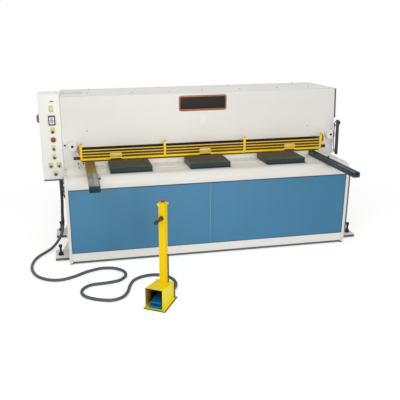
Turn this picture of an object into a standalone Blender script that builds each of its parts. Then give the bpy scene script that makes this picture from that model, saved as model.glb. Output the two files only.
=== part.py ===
"""Hydraulic plate shear with a free-standing foot pedal pedestal.

Metres, +Z up. The sizes below are in the machine's own frame: X runs along the bed from the
left end of the front panels, Y runs from the bed's front face to the rear, Z is up from the
floor. One empty at the end moves the machine so that the origin is under its middle.
"""

import math

import bmesh
import bpy
from mathutils import Matrix, Vector

# Fits
GAP = 0.0003            # between pieces that touch
SLIDE_FIT = 0.0005      # between pieces that slide on each other
OVERLAP = 0.001         # how far two shapes of one piece reach into each other
EDGE = 0.004            # small rounded edges and chamfers

# Bed and frame
BED_LENGTH = 2.800
BED_HEIGHT = 0.860
BED_CORNER_R = 0.070
BED_PLATE = 0.025
BED_BEAM_DEPTH = 0.100
APRON_DROP = 0.108
FRAME_TOP = 1.565
FRAME_REAR = 1.095
FRAME_BOTTOM = 0.012
SIDE_PLATE = 0.025
POST_WIDTH = 0.030
POST_DEPTH = 0.090
CHEEK_LEFT = 0.148
CHEEK_RIGHT = 0.100
ARCH_START = 0.350
ARCH_END = 0.700
ARCH_RISE = 0.100
ARCH_SLANT = 0.030

# Feet
FOOT_REACH = 0.110
RIGHT_FOOT_REACH = 0.160
FOOT_LENGTH = 0.200
FOOT_PLATE = 0.025
FRONT_FOOT_Y = 0.110
REAR_FOOT_Y = 0.735
FOOT_GAP = 0.016
GUSSET_HEIGHT = 0.100
GUSSET_REACH = 0.036
GUSSET_PLATE = 0.010
GUSSET_INSET = 0.150
JACK_INSET = 0.065
JACK_MARGIN = 0.052
JACK_SHANK_R = 0.010
JACK_PAD_R = 0.026
JACK_NUT_HEIGHT = 0.014
JACK_HEAD_R = 0.017
JACK_HEAD_HEIGHT = 0.018
JACK_RISE = 0.107

# Lower front
PANEL_SHEET = 0.006
PANEL_BOTTOM = 0.113
PANEL_SEAM = 0.006
PANEL_EDGE = 0.0015
RAIL_BOTTOM = 0.028
RAIL_DEPTH = 0.040
RAIL_SETBACK = 0.002
REAR_RAIL_HEIGHT = 0.120

# Support pads on the bed
PAD_HEIGHT = 0.050
PAD_WIDTH = 0.413
PAD_PITCH_SHARE = 0.2825    # of the bed's length
PAD_OFFSET = 0.0085
PAD_FRONT = 0.138
PAD_REAR = 0.454
PAD_CORNER_R = 0.016

# Blades, ram and hold-down
SEAT_FRONT = 0.458
SEAT_DROP = 0.003
BLADE_LINE = 0.500
BLADE_THICKNESS = 0.020
BLADE_HEIGHT = 0.080
BLADE_OPENING = 0.025
BLADE_CLEARANCE = 0.0005
RAKE_RISE = 0.045
RAM_THICKNESS = 0.040
RAM_DROP = 0.165
RAM_OVERLAP = 0.045
RAM_FLANGE = 0.160
RAM_FLANGE_DROP = 0.060
RAM_FLANGE_PLATE = 0.040
RAM_FLANGE_INSET = 0.010
HOLDDOWN_THICKNESS = 0.034
HOLDDOWN_OPENING = 0.026
HOLDDOWN_FOOT_HEIGHT = 0.010
HOLDDOWN_DROP = 0.315
HOLDDOWN_FEET = 11
HOLDDOWN_FOOT_R = 0.014

# Housing
SHEET = 0.005
THROAT = 0.151
HOUSING_FRONT = 0.455
REAR_OUTLET = 0.110
BOSS_R = 0.050
BOSS_LENGTH = 0.060
BOSS_BORE_R = 0.014
BOSS_BORE_DEPTH = 0.020
BOSS_RISE = 0.0225
LEFT_BOSS_INSET = 0.065
RIGHT_BOSS_INSET = 0.001
CHUTE_TOP_Y = 0.520
CHUTE_DROP = 0.040
CHUTE_FLAT = 0.040
CHUTE_SHEET = 0.004
CHUTE_END_Z = 0.380

# Guard
GUARD_Y = 0.340
GUARD_POSTS = 4
GUARD_END = 0.146
GUARD_POST_WIDTH = 0.022
GUARD_POST_DEPTH = 0.008
GUARD_CLEARANCE = 0.041
GUARD_HEIGHT = 0.161
GUARD_BARS = 3
GUARD_BAR_R = 0.0054
GUARD_BAR_LOW = 0.0445
GUARD_BAR_PITCH = 0.0288
GUARD_RAIL = 0.020
GUARD_CAP_WIDTH = 0.040
GUARD_CAP_DEPTH = 0.022
GUARD_CAP_PLATE = 0.005
GUARD_TABS = 3
GUARD_TAB_PITCH = 0.912
GUARD_TAB_WIDTH = 0.118
GUARD_TAB_LOW = 0.013
GUARD_TAB_HIGH = 0.047

# Arms
SQUARE_ARM_X = 0.184
SQUARE_ARM_WIDTH = 0.092
SQUARE_ARM_TIP = -0.480
SUPPORT_ARM_INSET = 0.217
SUPPORT_ARM_WIDTH = 0.060
SUPPORT_ARM_TIP = -0.520
ARM_SLOT_WIDTH = 0.014
ARM_SLOT_DEPTH = 0.012
ARM_TEE_WIDTH = 0.028
ARM_TEE_DEPTH = 0.026

# Throat cover on the right side
COVER_STANDOFF = 0.007
COVER_WIDTH = 0.022
COVER_DEPTH = 0.020
COVER_FRONT = 0.395
COVER_LOW = 0.013
COVER_DROP = 0.325
COVER_LUG_HEIGHT = 0.030
COVER_LUG_INSET = 0.050
COVER_LUG_GRIP = 0.050
COVER_KNOB_R = 0.016
COVER_KNOB_LENGTH = 0.012

# Control box
BOX_WIDTH = 0.180
BOX_FRONT = 0.430
BOX_DEPTH = 0.260
BOX_BOTTOM = 0.750
BOX_RISE = 0.035            # above the top of the frames
BOX_EDGE_R = 0.018
CONTROL_INSET = 0.059       # from the box's right side to the column of controls
CONTROL_SPREAD = 0.0405
# Heights of the controls, as shares of the box's height from its floor
LAMP_AT = 0.8235
TIMER_AT = 0.7035
START_AT = 0.5694
STOP_AT = 0.4776
LIGHT_AT = 0.3682
MODE_AT = 0.2659
JOG_AT = 0.1647
GAUGE_AT = 0.0659
MAIN_SWITCH_AT = 0.7060
TIMER_WIDTH = 0.066
TIMER_HEIGHT = 0.094
TIMER_DEPTH = 0.018
BUTTON_R = 0.011
BUTTON_HEIGHT = 0.012
LAMP_R = 0.011
LAMP_HEIGHT = 0.016
KNOB_R = 0.012
KNOB_HEIGHT = 0.014
KNOB_GRIP = 0.006
KNOB_GRIP_HEIGHT = 0.022
MUSHROOM_R = 0.020
MUSHROOM_HEIGHT = 0.012
STOP_STEM_R = 0.011
COLLAR_WALL = 0.003
COLLAR_RISE = 0.007
COLLAR_SINK = 0.002
BUTTON_TRAVEL = 0.004
STOP_TRAVEL = 0.006
SWITCH_R = 0.045
SWITCH_GRIP_R = 0.013
SWITCH_PLATE = 0.010
SWITCH_Y = 0.560
SWITCH_REACH = 0.030

# Conduit and cord
CONDUIT_R = 0.0125
CONDUIT_OFFSET = 0.0270      # from the left frame's outer face to the conduit's middle
CONDUIT_Y = 0.500
COUPLING_TOP = 0.330
COUPLING_BOTTOM = 0.280
COUPLING_R = 0.018
COUPLING_EDGE = 0.008
CORD_R = 0.0145
CORD_SPACING = 0.058
CORD_STRAIGHT = 0.062

# Pedal pedestal
PEDAL_X = 0.7065
PEDAL_Y = -0.9216
PEDAL_TURN = -32.35
BASE_WIDTH = 0.181
BASE_LENGTH = 0.270
BASE_PLATE = 0.006
HOOD_WIDTH = 0.1515
HOOD_LENGTH = 0.254
HOOD_INSET = 0.004
HOOD_FRONT_HEIGHT = 0.187
HOOD_REAR_HEIGHT = 0.150
HOOD_SHEET = 0.004
COLUMN_SIZE = 0.055
COLUMN_TOP = 0.835
COLUMN_SETBACK = 0.081
CAP_SIZE = 0.070
CAP_HEIGHT = 0.018
HANDLE_Z = 0.731
HANDLE_REACH = 0.122
HANDLE_R = 0.009
HANDLE_KNOB_R = 0.015
HANDLE_KNOB_LENGTH = 0.024
HANDLE_FOOT_R = 0.015
HANDLE_FOOT_LENGTH = 0.014
SWITCH_BASE_INSET = 0.022
SWITCH_BASE_WIDTH = 0.104
SWITCH_BASE_LENGTH = 0.165
SWITCH_BASE_HEIGHT = 0.020
EAR_HALF = 0.012
EAR_RISE = 0.010
EAR_SETBACK = 0.030
EAR_CLEARANCE = 0.002
TREADLE_WIDTH = 0.086
TREADLE_LENGTH = 0.132
TREADLE_NOSE = 0.010
TREADLE_PLATE = 0.008
TREADLE_AXIS_Z = 0.042
TREADLE_PIVOT_R = 0.006
TREADLE_HUB_R = 0.011
TREADLE_REST = 11.0
GLAND_R = 0.019
GLAND_NECK_R = 0.0155
GLAND_LENGTH = 0.030
GLAND_EDGE = 0.006
GLAND_X = 0.035
GLAND_Z = 0.034

# Worked out from the sizes above
WORK_LEVEL = BED_HEIGHT + PAD_HEIGHT
PAD_PITCH = BED_LENGTH * PAD_PITCH_SHARE
BOX_TOP = FRAME_TOP + BOX_RISE
APRON_BOTTOM = BED_HEIGHT - APRON_DROP
HOUSING_BOTTOM = WORK_LEVEL + THROAT
RAM_TOP = FRAME_TOP - RAM_DROP
HOLDDOWN_TOP = FRAME_TOP - HOLDDOWN_DROP
COVER_TOP = FRAME_TOP - COVER_DROP
GUARD_BOTTOM = WORK_LEVEL + GUARD_CLEARANCE
GUARD_TOP = GUARD_BOTTOM + GUARD_HEIGHT
BLADE_REAR = BLADE_LINE - BLADE_THICKNESS - GAP
FRAME_LEFT = -POST_WIDTH - SIDE_PLATE
FRAME_RIGHT = BED_LENGTH - FRAME_LEFT
RAM_FRONT = BLADE_LINE + BLADE_CLEARANCE + BLADE_THICKNESS + GAP
BOX_RIGHT = FRAME_LEFT - GAP
BOX_LEFT = BOX_RIGHT - BOX_WIDTH
CONTROL_X = BOX_RIGHT - CONTROL_INSET
CONDUIT_X = FRAME_LEFT - CONDUIT_OFFSET
LEFT_END = BOX_LEFT - GAP - SWITCH_REACH
RIGHT_END = FRAME_RIGHT + RIGHT_FOOT_REACH
BLADE_LEFT = CHEEK_LEFT
BLADE_RIGHT = BED_LENGTH - CHEEK_RIGHT
LEFT_JACK_X = FRAME_LEFT - FOOT_REACH + JACK_MARGIN
RIGHT_JACK_X = FRAME_RIGHT + RIGHT_FOOT_REACH - JACK_MARGIN
PEDAL_FRONT = PEDAL_Y - math.hypot(BASE_WIDTH, BASE_LENGTH) / 2 * math.cos(
    math.radians(PEDAL_TURN) + math.atan2(BASE_WIDTH, BASE_LENGTH))
ORIGIN = Vector(((LEFT_END + RIGHT_END) / 2, (PEDAL_FRONT + FRAME_REAR + SHEET) / 2, 0))

PARTS = None
CUTTERS = None
MATERIALS = {}


def clear_scene():
    for item in list(bpy.data.objects):
        bpy.data.objects.remove(item, do_unlink=True)


def material(name, color, roughness, metallic=0.0):
    made = bpy.data.materials.new(name)
    made.use_nodes = True
    shader = made.node_tree.nodes["Principled BSDF"]
    shader.inputs["Base Color"].default_value = (*color, 1.0)
    shader.inputs["Roughness"].default_value = roughness
    shader.inputs["Metallic"].default_value = metallic
    made.diffuse_color = (*color, 1.0)
    MATERIALS[name] = made


def make_materials():
    material("ivory_paint", (0.74, 0.73, 0.69), 0.45)
    material("blue_paint", (0.07, 0.22, 0.38), 0.42)
    material("yellow_paint", (0.98, 0.69, 0.0), 0.40)
    material("slate_metal", (0.055, 0.09, 0.105), 0.45, 0.4)
    material("steel", (0.55, 0.55, 0.54), 0.35, 1.0)
    material("black_plastic", (0.02, 0.02, 0.022), 0.5)
    material("cord_grey", (0.09, 0.10, 0.105), 0.6)
    material("red_plastic", (0.45, 0.03, 0.02), 0.35)
    material("switch_blue", (0.01, 0.24, 0.45), 0.5)
    material("lamp_white", (0.85, 0.85, 0.80), 0.25)


def add_object(name, mesh, slot):
    made = bpy.data.objects.new(name, mesh)
    PARTS.objects.link(made)
    if slot:
        mesh.materials.append(MATERIALS[slot])
    return made


def mesh_from(build):
    """A mesh filled by a function that adds shapes to a bmesh."""
    shape = bmesh.new()
    build(shape)
    mesh = bpy.data.meshes.new("shape")
    shape.to_mesh(mesh)
    shape.free()
    return mesh


def box(name, low, high, slot):
    """A block between two corners, with its origin at its middle."""
    low, high = Vector(low), Vector(high)
    size = high - low
    mesh = mesh_from(lambda shape: bmesh.ops.create_cube(
        shape, size=1.0, matrix=Matrix.Diagonal((*size, 1.0))))
    made = add_object(name, mesh, slot)
    made.location = (low + high) / 2
    return made


def turn_to(axis):
    return Vector((0, 0, 1)).rotation_difference(Vector(axis)).to_euler()


def rod(name, start, end, radius, slot, sides=24):
    """A round bar from one point to another, with its origin at its middle."""
    start, end = Vector(start), Vector(end)
    mesh = mesh_from(lambda shape: bmesh.ops.create_cone(
        shape, cap_ends=True, segments=sides, radius1=radius, radius2=radius,
        depth=(end - start).length))
    mesh.shade_smooth()
    mesh.set_sharp_from_angle(angle=math.radians(35))
    made = add_object(name, mesh, slot)
    made.location = (start + end) / 2
    made.rotation_euler = turn_to(end - start)
    return made


def turned(name, profile, slot, sides=32):
    """A solid of revolution about Z from (radius, height) points, listed from top to bottom."""
    mesh = bpy.data.meshes.new(name)
    points = [(radius, 0, height) for radius, height in profile]
    mesh.from_pydata(points, [(i, i + 1) for i in range(len(points) - 1)], [])
    made = add_object(name, mesh, slot)
    screw = made.modifiers.new("turn", "SCREW")
    screw.steps = sides
    screw.render_steps = sides
    screw.use_merge_vertices = True
    screw.merge_threshold = 0.00005
    screw.use_smooth_shade = True
    return made


def outline(name, points, start, end, slot, axis="X"):
    """A flat outline extruded from start to end along an axis, across the other two axes."""
    curve = bpy.data.curves.new(name, "CURVE")
    curve.dimensions = "2D"
    curve.fill_mode = "BOTH"
    curve.extrude = abs(end - start) / 2
    spline = curve.splines.new("POLY")
    spline.points.add(len(points) - 1)
    for point, (u, v) in zip(spline.points, points):
        point.co = (u, v, 0, 1)
    spline.use_cyclic_u = True
    drawn = bpy.data.objects.new(name, curve)
    PARTS.objects.link(drawn)
    bpy.context.view_layer.update()
    evaluated = drawn.evaluated_get(bpy.context.evaluated_depsgraph_get())
    mesh = bpy.data.meshes.new_from_object(evaluated)
    bpy.data.objects.remove(drawn, do_unlink=True)
    weld_mesh(mesh)
    turns = {
        "X": Matrix(((0, 0, 1, 0), (1, 0, 0, 0), (0, 1, 0, 0), (0, 0, 0, 1))),
        "Y": Matrix(((1, 0, 0, 0), (0, 0, -1, 0), (0, 1, 0, 0), (0, 0, 0, 1))),
        "Z": Matrix.Identity(4),
    }
    mesh.transform(turns[axis])
    made = add_object(name, mesh, slot)
    offset = {"X": (1, 0, 0), "Y": (0, 1, 0), "Z": (0, 0, 1)}[axis]
    made.location = Vector(offset) * ((start + end) / 2)
    return made


def weld_mesh(mesh):
    shape = bmesh.new()
    shape.from_mesh(mesh)
    bmesh.ops.remove_doubles(shape, verts=shape.verts, dist=0.00001)
    bmesh.ops.recalc_face_normals(shape, faces=shape.faces)
    shape.to_mesh(mesh)
    shape.free()


def arc(center, radius, start, end, steps):
    """Points on an arc, in degrees."""
    points = []
    for step in range(steps + 1):
        angle = math.radians(start + (end - start) * step / steps)
        points.append((center[0] + radius * math.cos(angle), center[1] + radius * math.sin(angle)))
    return points


def combine(target, other, operation):
    """Cut the other object from the target, or join it on."""
    modifier = target.modifiers.new(operation.lower(), "BOOLEAN")
    modifier.operation = operation
    modifier.object = other
    modifier.solver = "EXACT"
    other.hide_render = True
    other.display_type = "WIRE"
    for holder in list(other.users_collection):
        holder.objects.unlink(other)
    CUTTERS.objects.link(other)
    if other.data.materials:
        other.data.materials.clear()
    return target


def cut(target, other):
    return combine(target, other, "DIFFERENCE")


def join(target, other):
    return combine(target, other, "UNION")


def bevel(target, width, segments=2):
    modifier = target.modifiers.new("edge", "BEVEL")
    modifier.width = width
    modifier.segments = segments
    modifier.limit_method = "ANGLE"
    modifier.angle_limit = math.radians(40)
    return target


def side_frame(name, mirror):
    """A side plate with its front post, front cheek, two foot plates and their gussets."""
    corner = (BED_CORNER_R, BED_HEIGHT - BED_CORNER_R)
    front_corner = arc(corner, BED_CORNER_R, 90, 180, 8)
    panel_back = HOUSING_FRONT + SHEET + GAP
    cheek_top = HOUSING_BOTTOM - GAP
    points = [(0, FRAME_BOTTOM), (ARCH_START, FRAME_BOTTOM), (ARCH_START + ARCH_SLANT, ARCH_RISE),
              (ARCH_END - ARCH_SLANT, ARCH_RISE), (ARCH_END, FRAME_BOTTOM), (FRAME_REAR, FRAME_BOTTOM),
              (FRAME_REAR, FRAME_TOP - GAP), (panel_back, FRAME_TOP - GAP), (panel_back, cheek_top),
              (HOUSING_FRONT, cheek_top), (HOUSING_FRONT, BED_HEIGHT)] + front_corner

    def place(x_low, x_high):
        if mirror:
            return BED_LENGTH - x_high, BED_LENGTH - x_low
        return x_low, x_high

    plate = outline(name, points, *place(FRAME_LEFT, -POST_WIDTH), "ivory_paint")
    post_points = [(0, FRAME_BOTTOM), (POST_DEPTH, FRAME_BOTTOM), (POST_DEPTH, APRON_BOTTOM),
                   (HOUSING_FRONT, APRON_BOTTOM), (HOUSING_FRONT, BED_HEIGHT)]
    join(plate, outline(name + "_post", post_points + front_corner,
                        *place(-POST_WIDTH - OVERLAP, -GAP), None))
    x_low, x_high = place(-POST_WIDTH - OVERLAP, CHEEK_RIGHT if mirror else CHEEK_LEFT)
    join(plate, box(name + "_cheek", (x_low, HOUSING_FRONT, BED_HEIGHT + GAP),
                    (x_high, BLADE_REAR, cheek_top), None))
    plate_top = FOOT_GAP + FOOT_PLATE
    x_low, x_high = place(FRAME_LEFT - (RIGHT_FOOT_REACH if mirror else FOOT_REACH), FRAME_LEFT + OVERLAP)
    gusset_out, gusset_in = FRAME_LEFT - GUSSET_REACH, FRAME_LEFT + OVERLAP
    rib = [(gusset_out, plate_top - OVERLAP), (gusset_in, plate_top - OVERLAP),
           (gusset_in, plate_top + GUSSET_HEIGHT)]
    if mirror:
        rib = [(BED_LENGTH - x, z) for x, z in rib]
    jack_x = RIGHT_JACK_X if mirror else LEFT_JACK_X
    feet = ((FRONT_FOOT_Y, FRONT_FOOT_Y + JACK_INSET, FRONT_FOOT_Y + GUSSET_INSET),
            (REAR_FOOT_Y, REAR_FOOT_Y + FOOT_LENGTH - JACK_INSET,
             REAR_FOOT_Y + FOOT_LENGTH - GUSSET_INSET))
    for index, (start, jack_y, rib_y) in enumerate(feet):
        join(plate, box(f"{name}_foot_{index}", (x_low, start, FOOT_GAP),
                        (x_high, start + FOOT_LENGTH, plate_top), None))
        join(plate, outline(f"{name}_gusset_{index}", rib, rib_y - GUSSET_PLATE / 2,
                            rib_y + GUSSET_PLATE / 2, None, axis="Y"))
        cut(plate, rod(f"{name}_hole_{index}", (jack_x, jack_y, 0), (jack_x, jack_y, 2 * plate_top),
                       JACK_SHANK_R + SLIDE_FIT, None))
    return plate


def levelling_jack(name, x, y):
    """A bolt through the foot plate, with a pad on the floor and a nut on the plate."""
    plate_top = FOOT_GAP + FOOT_PLATE
    head = plate_top + JACK_RISE
    nut = plate_top + JACK_NUT_HEIGHT
    profile = [(0, head), (JACK_HEAD_R, head), (JACK_HEAD_R, head - JACK_HEAD_HEIGHT),
               (JACK_SHANK_R, head - JACK_HEAD_HEIGHT), (JACK_SHANK_R, nut), (JACK_PAD_R, nut),
               (JACK_PAD_R, plate_top + GAP), (JACK_SHANK_R, plate_top + GAP),
               (JACK_SHANK_R, FOOT_GAP - GAP), (JACK_PAD_R, FOOT_GAP - GAP), (JACK_PAD_R, 0), (0, 0)]
    made = turned(name, profile, "black_plastic", 24)
    made.location = (x, y, 0)
    return made


def bed():
    """The table: a bent front plate with a round corner, and the blade's seat behind."""
    corner = (BED_CORNER_R, BED_HEIGHT - BED_CORNER_R)
    blade_floor = WORK_LEVEL - BLADE_HEIGHT - GAP
    beam_front = BLADE_LINE - BED_BEAM_DEPTH
    points = [(0, APRON_BOTTOM)]
    points += reversed(arc(corner, BED_CORNER_R, 90, 180, 8))
    points += [(BLADE_REAR, BED_HEIGHT), (BLADE_REAR, blade_floor), (BLADE_LINE, blade_floor),
               (BLADE_LINE, APRON_BOTTOM), (beam_front, APRON_BOTTOM),
               (beam_front, BED_HEIGHT - BED_PLATE)]
    points += arc(corner, BED_CORNER_R - BED_PLATE, 90, 180, 8)
    points += [(BED_PLATE, APRON_BOTTOM)]
    table = outline("bed", points, GAP, BED_LENGTH - GAP, "ivory_paint")
    return join(table, box("blade_seat", (BLADE_LEFT + GAP, SEAT_FRONT, BED_HEIGHT - OVERLAP),
                           (BLADE_RIGHT - GAP, BLADE_REAR, WORK_LEVEL - SEAT_DROP), None))


def lower_blade():
    return box("lower_blade", (BLADE_LEFT, BLADE_LINE - BLADE_THICKNESS, WORK_LEVEL - BLADE_HEIGHT),
               (BLADE_RIGHT, BLADE_LINE, WORK_LEVEL), "steel")


def front_panels():
    middle = BED_LENGTH / 2
    top = APRON_BOTTOM - PANEL_EDGE
    spans = {"front_panel_left": (GAP, middle - PANEL_SEAM / 2),
             "front_panel_right": (middle + PANEL_SEAM / 2, BED_LENGTH - GAP)}
    for name, (start, end) in spans.items():
        panel = box(name, (start, 0, PANEL_BOTTOM), (end, PANEL_SHEET, top), "blue_paint")
        bevel(panel, PANEL_EDGE)


def rails():
    box("bottom_rail", (GAP, RAIL_SETBACK, RAIL_BOTTOM), (BED_LENGTH - GAP, RAIL_DEPTH, PANEL_BOTTOM - GAP),
        "ivory_paint")
    box("rear_rail", (GAP - POST_WIDTH, FRAME_REAR - RAIL_DEPTH, RAIL_BOTTOM),
        (BED_LENGTH + POST_WIDTH - GAP, FRAME_REAR, RAIL_BOTTOM + REAR_RAIL_HEIGHT), "ivory_paint")


def pads():
    middle = BED_LENGTH / 2 + PAD_OFFSET
    names = ("support_pad_left", "support_pad_middle", "support_pad_right")
    for index, name in enumerate(names):
        left = middle + (index - 1) * PAD_PITCH - PAD_WIDTH / 2
        right = left + PAD_WIDTH
        points = []
        for x, y, start in ((right, PAD_REAR, 0), (left, PAD_REAR, 90),
                            (left, PAD_FRONT, 180), (right, PAD_FRONT, 270)):
            center = (x + math.copysign(PAD_CORNER_R, left - x + PAD_CORNER_R),
                      y + math.copysign(PAD_CORNER_R, PAD_FRONT - y + PAD_CORNER_R))
            points += arc(center, PAD_CORNER_R, start, start + 90, 6)
        bevel(outline(name, points, BED_HEIGHT + GAP, WORK_LEVEL, "slate_metal", axis="Z"), EDGE)


def raked(name, y_low, y_high, left_bottom, top_left, top_right, x_low, x_high, slot):
    """A plate along X whose lower edge rises by the rake over the bed's length."""
    slope = RAKE_RISE / BED_LENGTH
    points = [(x_low, left_bottom + slope * x_low), (x_high, left_bottom + slope * x_high),
              (x_high, top_right), (x_low, top_left)]
    return outline(name, points, y_low, y_high, slot, axis="Y")


def ram():
    """The ram beam and the raked upper blade on its front."""
    rest = WORK_LEVEL + BLADE_OPENING
    slope = RAKE_RISE / BED_LENGTH
    blade_front = BLADE_LINE + BLADE_CLEARANCE
    raked("upper_blade", blade_front, blade_front + BLADE_THICKNESS, rest,
          rest + BLADE_HEIGHT + slope * BLADE_LEFT, rest + BLADE_HEIGHT + slope * BLADE_RIGHT,
          BLADE_LEFT, BLADE_RIGHT, "steel")
    x_low = -POST_WIDTH + SLIDE_FIT
    x_high = BED_LENGTH + POST_WIDTH - SLIDE_FIT
    beam = raked("ram_beam", RAM_FRONT, RAM_FRONT + RAM_THICKNESS, rest + BLADE_HEIGHT - RAM_OVERLAP,
                 RAM_TOP, RAM_TOP, x_low, x_high, "slate_metal")
    flange_top = RAM_TOP - RAM_FLANGE_DROP
    join(beam, box("ram_flange",
                   (x_low + RAM_FLANGE_INSET, RAM_FRONT + RAM_THICKNESS - OVERLAP,
                    flange_top - RAM_FLANGE_PLATE),
                   (x_high - RAM_FLANGE_INSET, RAM_FRONT + RAM_FLANGE, flange_top), None))


def holddown():
    """The clamp beam behind the front panel, with its row of round feet."""
    front = HOUSING_FRONT + SHEET + GAP
    feet_bottom = WORK_LEVEL + HOLDDOWN_OPENING
    beam_bottom = feet_bottom + HOLDDOWN_FOOT_HEIGHT
    x_low, x_high = BLADE_LEFT + GAP, BLADE_RIGHT - GAP
    beam = box("holddown_beam", (x_low, front, beam_bottom),
               (x_high, front + HOLDDOWN_THICKNESS, HOLDDOWN_TOP), "slate_metal")
    for index in range(HOLDDOWN_FEET):
        x = x_low + (x_high - x_low) * (index + 0.5) / HOLDDOWN_FEET
        y = front + HOLDDOWN_THICKNESS / 2
        join(beam, rod(f"holddown_foot_{index}", (x, y, feet_bottom),
                       (x, y, beam_bottom + OVERLAP), HOLDDOWN_FOOT_R, None, 12))
    return beam


def housing():
    """The sheet covers round the ram: front, top, rear and the chute under the blades."""
    box("upper_front_panel", (FRAME_LEFT, HOUSING_FRONT, HOUSING_BOTTOM),
        (FRAME_RIGHT, HOUSING_FRONT + SHEET, FRAME_TOP - GAP), "ivory_paint")
    box("top_cover", (FRAME_LEFT, HOUSING_FRONT, FRAME_TOP),
        (FRAME_RIGHT, FRAME_REAR + SHEET, FRAME_TOP + SHEET), "ivory_paint")
    box("rear_panel", (FRAME_LEFT, FRAME_REAR + GAP, WORK_LEVEL + REAR_OUTLET),
        (FRAME_RIGHT, FRAME_REAR + SHEET, FRAME_TOP - GAP), "ivory_paint")
    top = BED_HEIGHT - CHUTE_DROP
    flat_end = CHUTE_TOP_Y + CHUTE_FLAT
    slope = [(CHUTE_TOP_Y, top), (flat_end, top), (FRAME_REAR, CHUTE_END_Z + CHUTE_SHEET),
             (FRAME_REAR, CHUTE_END_Z), (flat_end - CHUTE_SHEET / 2, top - CHUTE_SHEET),
             (CHUTE_TOP_Y, top - CHUTE_SHEET)]
    outline("rear_chute", slope, -POST_WIDTH + GAP, BED_LENGTH + POST_WIDTH - GAP, "ivory_paint")


def bosses():
    """A round boss with a bore over the joint between the front panel and each cheek."""
    floor = BOSS_LENGTH - BOSS_BORE_DEPTH
    profile = [(BOSS_BORE_R, BOSS_LENGTH), (BOSS_R - EDGE, BOSS_LENGTH), (BOSS_R, BOSS_LENGTH - EDGE),
               (BOSS_R, 0), (0, 0), (0, floor), (BOSS_BORE_R, floor), (BOSS_BORE_R, BOSS_LENGTH)]
    for name, x in (("boss_left", LEFT_BOSS_INSET), ("boss_right", BED_LENGTH - RIGHT_BOSS_INSET)):
        made = turned(name, profile, "ivory_paint", 36)
        made.location = (x, HOUSING_FRONT - GAP, HOUSING_BOTTOM + BOSS_RISE)
        made.rotation_euler = turn_to((0, -1, 0))


def guard():
    """Posts with thin bars and a bottom rail, each on an arm to the front panel's edge or the cheek."""
    last = BED_LENGTH - GUARD_END
    y_front = GUARD_Y - GUARD_POST_DEPTH / 2
    y_rear = GUARD_Y + GUARD_POST_DEPTH / 2
    rail_front, rail_rear = y_front + OVERLAP, y_rear - OVERLAP
    half = GUARD_POST_WIDTH / 2
    arm_top = HOUSING_BOTTOM - GAP
    rail = box("guard", (GUARD_END - half + OVERLAP, rail_front, GUARD_BOTTOM),
               (last + half - OVERLAP, rail_rear, GUARD_BOTTOM + GUARD_RAIL), "yellow_paint")
    tab_z = GUARD_BOTTOM + GUARD_TAB_LOW
    for index in range(GUARD_TABS):
        left = BED_LENGTH / 2 + (index - (GUARD_TABS - 1) / 2) * GUARD_TAB_PITCH - GUARD_TAB_WIDTH / 2
        right = left + GUARD_TAB_WIDTH
        join(rail, box(f"guard_tab_{index}", (left, rail_front - OVERLAP, tab_z),
                       (right, rail_rear, GUARD_BOTTOM + GUARD_TAB_HIGH), None))
        cut(rail, box(f"guard_relief_{index}", (left + OVERLAP, y_front - OVERLAP, GUARD_BOTTOM - OVERLAP),
                      (right - OVERLAP, y_rear + OVERLAP, tab_z + OVERLAP), None))
    for index in range(GUARD_POSTS):
        x = GUARD_END + (last - GUARD_END) * index / (GUARD_POSTS - 1)
        arm_end = HOUSING_FRONT - GAP if x - half < CHEEK_LEFT else HOUSING_FRONT + SHEET
        bracket = [(y_front, GUARD_BOTTOM - OVERLAP), (y_rear, GUARD_BOTTOM - OVERLAP),
                   (y_rear, arm_top - GUARD_POST_DEPTH), (arm_end, arm_top - GUARD_POST_DEPTH),
                   (arm_end, arm_top), (y_rear, arm_top), (y_rear, GUARD_TOP), (y_front, GUARD_TOP)]
        join(rail, outline(f"guard_post_{index}", bracket, x - half, x + half, None))
        join(rail, box(f"guard_cap_{index}",
                       (x - GUARD_CAP_WIDTH / 2, GUARD_Y - GUARD_CAP_DEPTH / 2, GUARD_TOP - GUARD_CAP_PLATE),
                       (x + GUARD_CAP_WIDTH / 2, GUARD_Y + GUARD_CAP_DEPTH / 2, GUARD_TOP + OVERLAP), None))
    for index in range(GUARD_BARS):
        z = GUARD_BOTTOM + GUARD_BAR_LOW + index * GUARD_BAR_PITCH
        join(rail, rod(f"guard_bar_{index}", (GUARD_END, GUARD_Y, z), (last, GUARD_Y, z),
                       GUARD_BAR_R, None, 8))
    return rail


def throat_cover():
    """The slim round-ended bar that stands off the outside of the right frame on two lugs."""
    radius = COVER_WIDTH / 2
    left = FRAME_RIGHT + COVER_STANDOFF
    right = left + COVER_WIDTH
    middle = left + radius
    bottom = BED_HEIGHT + COVER_LOW
    points = arc((middle, COVER_TOP - radius), radius, 0, 180, 10)
    points += arc((middle, bottom + radius), radius, 180, 360, 10)
    cover = outline("throat_cover", points, COVER_FRONT, COVER_FRONT + COVER_DEPTH, "slate_metal", axis="Y")
    for index, low in enumerate((bottom + radius, COVER_TOP - COVER_LUG_INSET - COVER_LUG_HEIGHT)):
        join(cover, box(f"throat_cover_lug_{index}", (FRAME_RIGHT + GAP, COVER_FRONT + OVERLAP, low),
                        (left + OVERLAP, HOUSING_FRONT + COVER_LUG_GRIP, low + COVER_LUG_HEIGHT), None))
    knob_z = COVER_TOP - COVER_LUG_INSET / 2
    knob_y = COVER_FRONT + COVER_DEPTH / 2
    join(cover, rod("throat_cover_knob", (right - OVERLAP, knob_y, knob_z),
                    (right + COVER_KNOB_LENGTH, knob_y, knob_z), COVER_KNOB_R, None, 20))
    return cover


def box_height(share):
    return BOX_BOTTOM + share * (BOX_TOP - BOX_BOTTOM)


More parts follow.
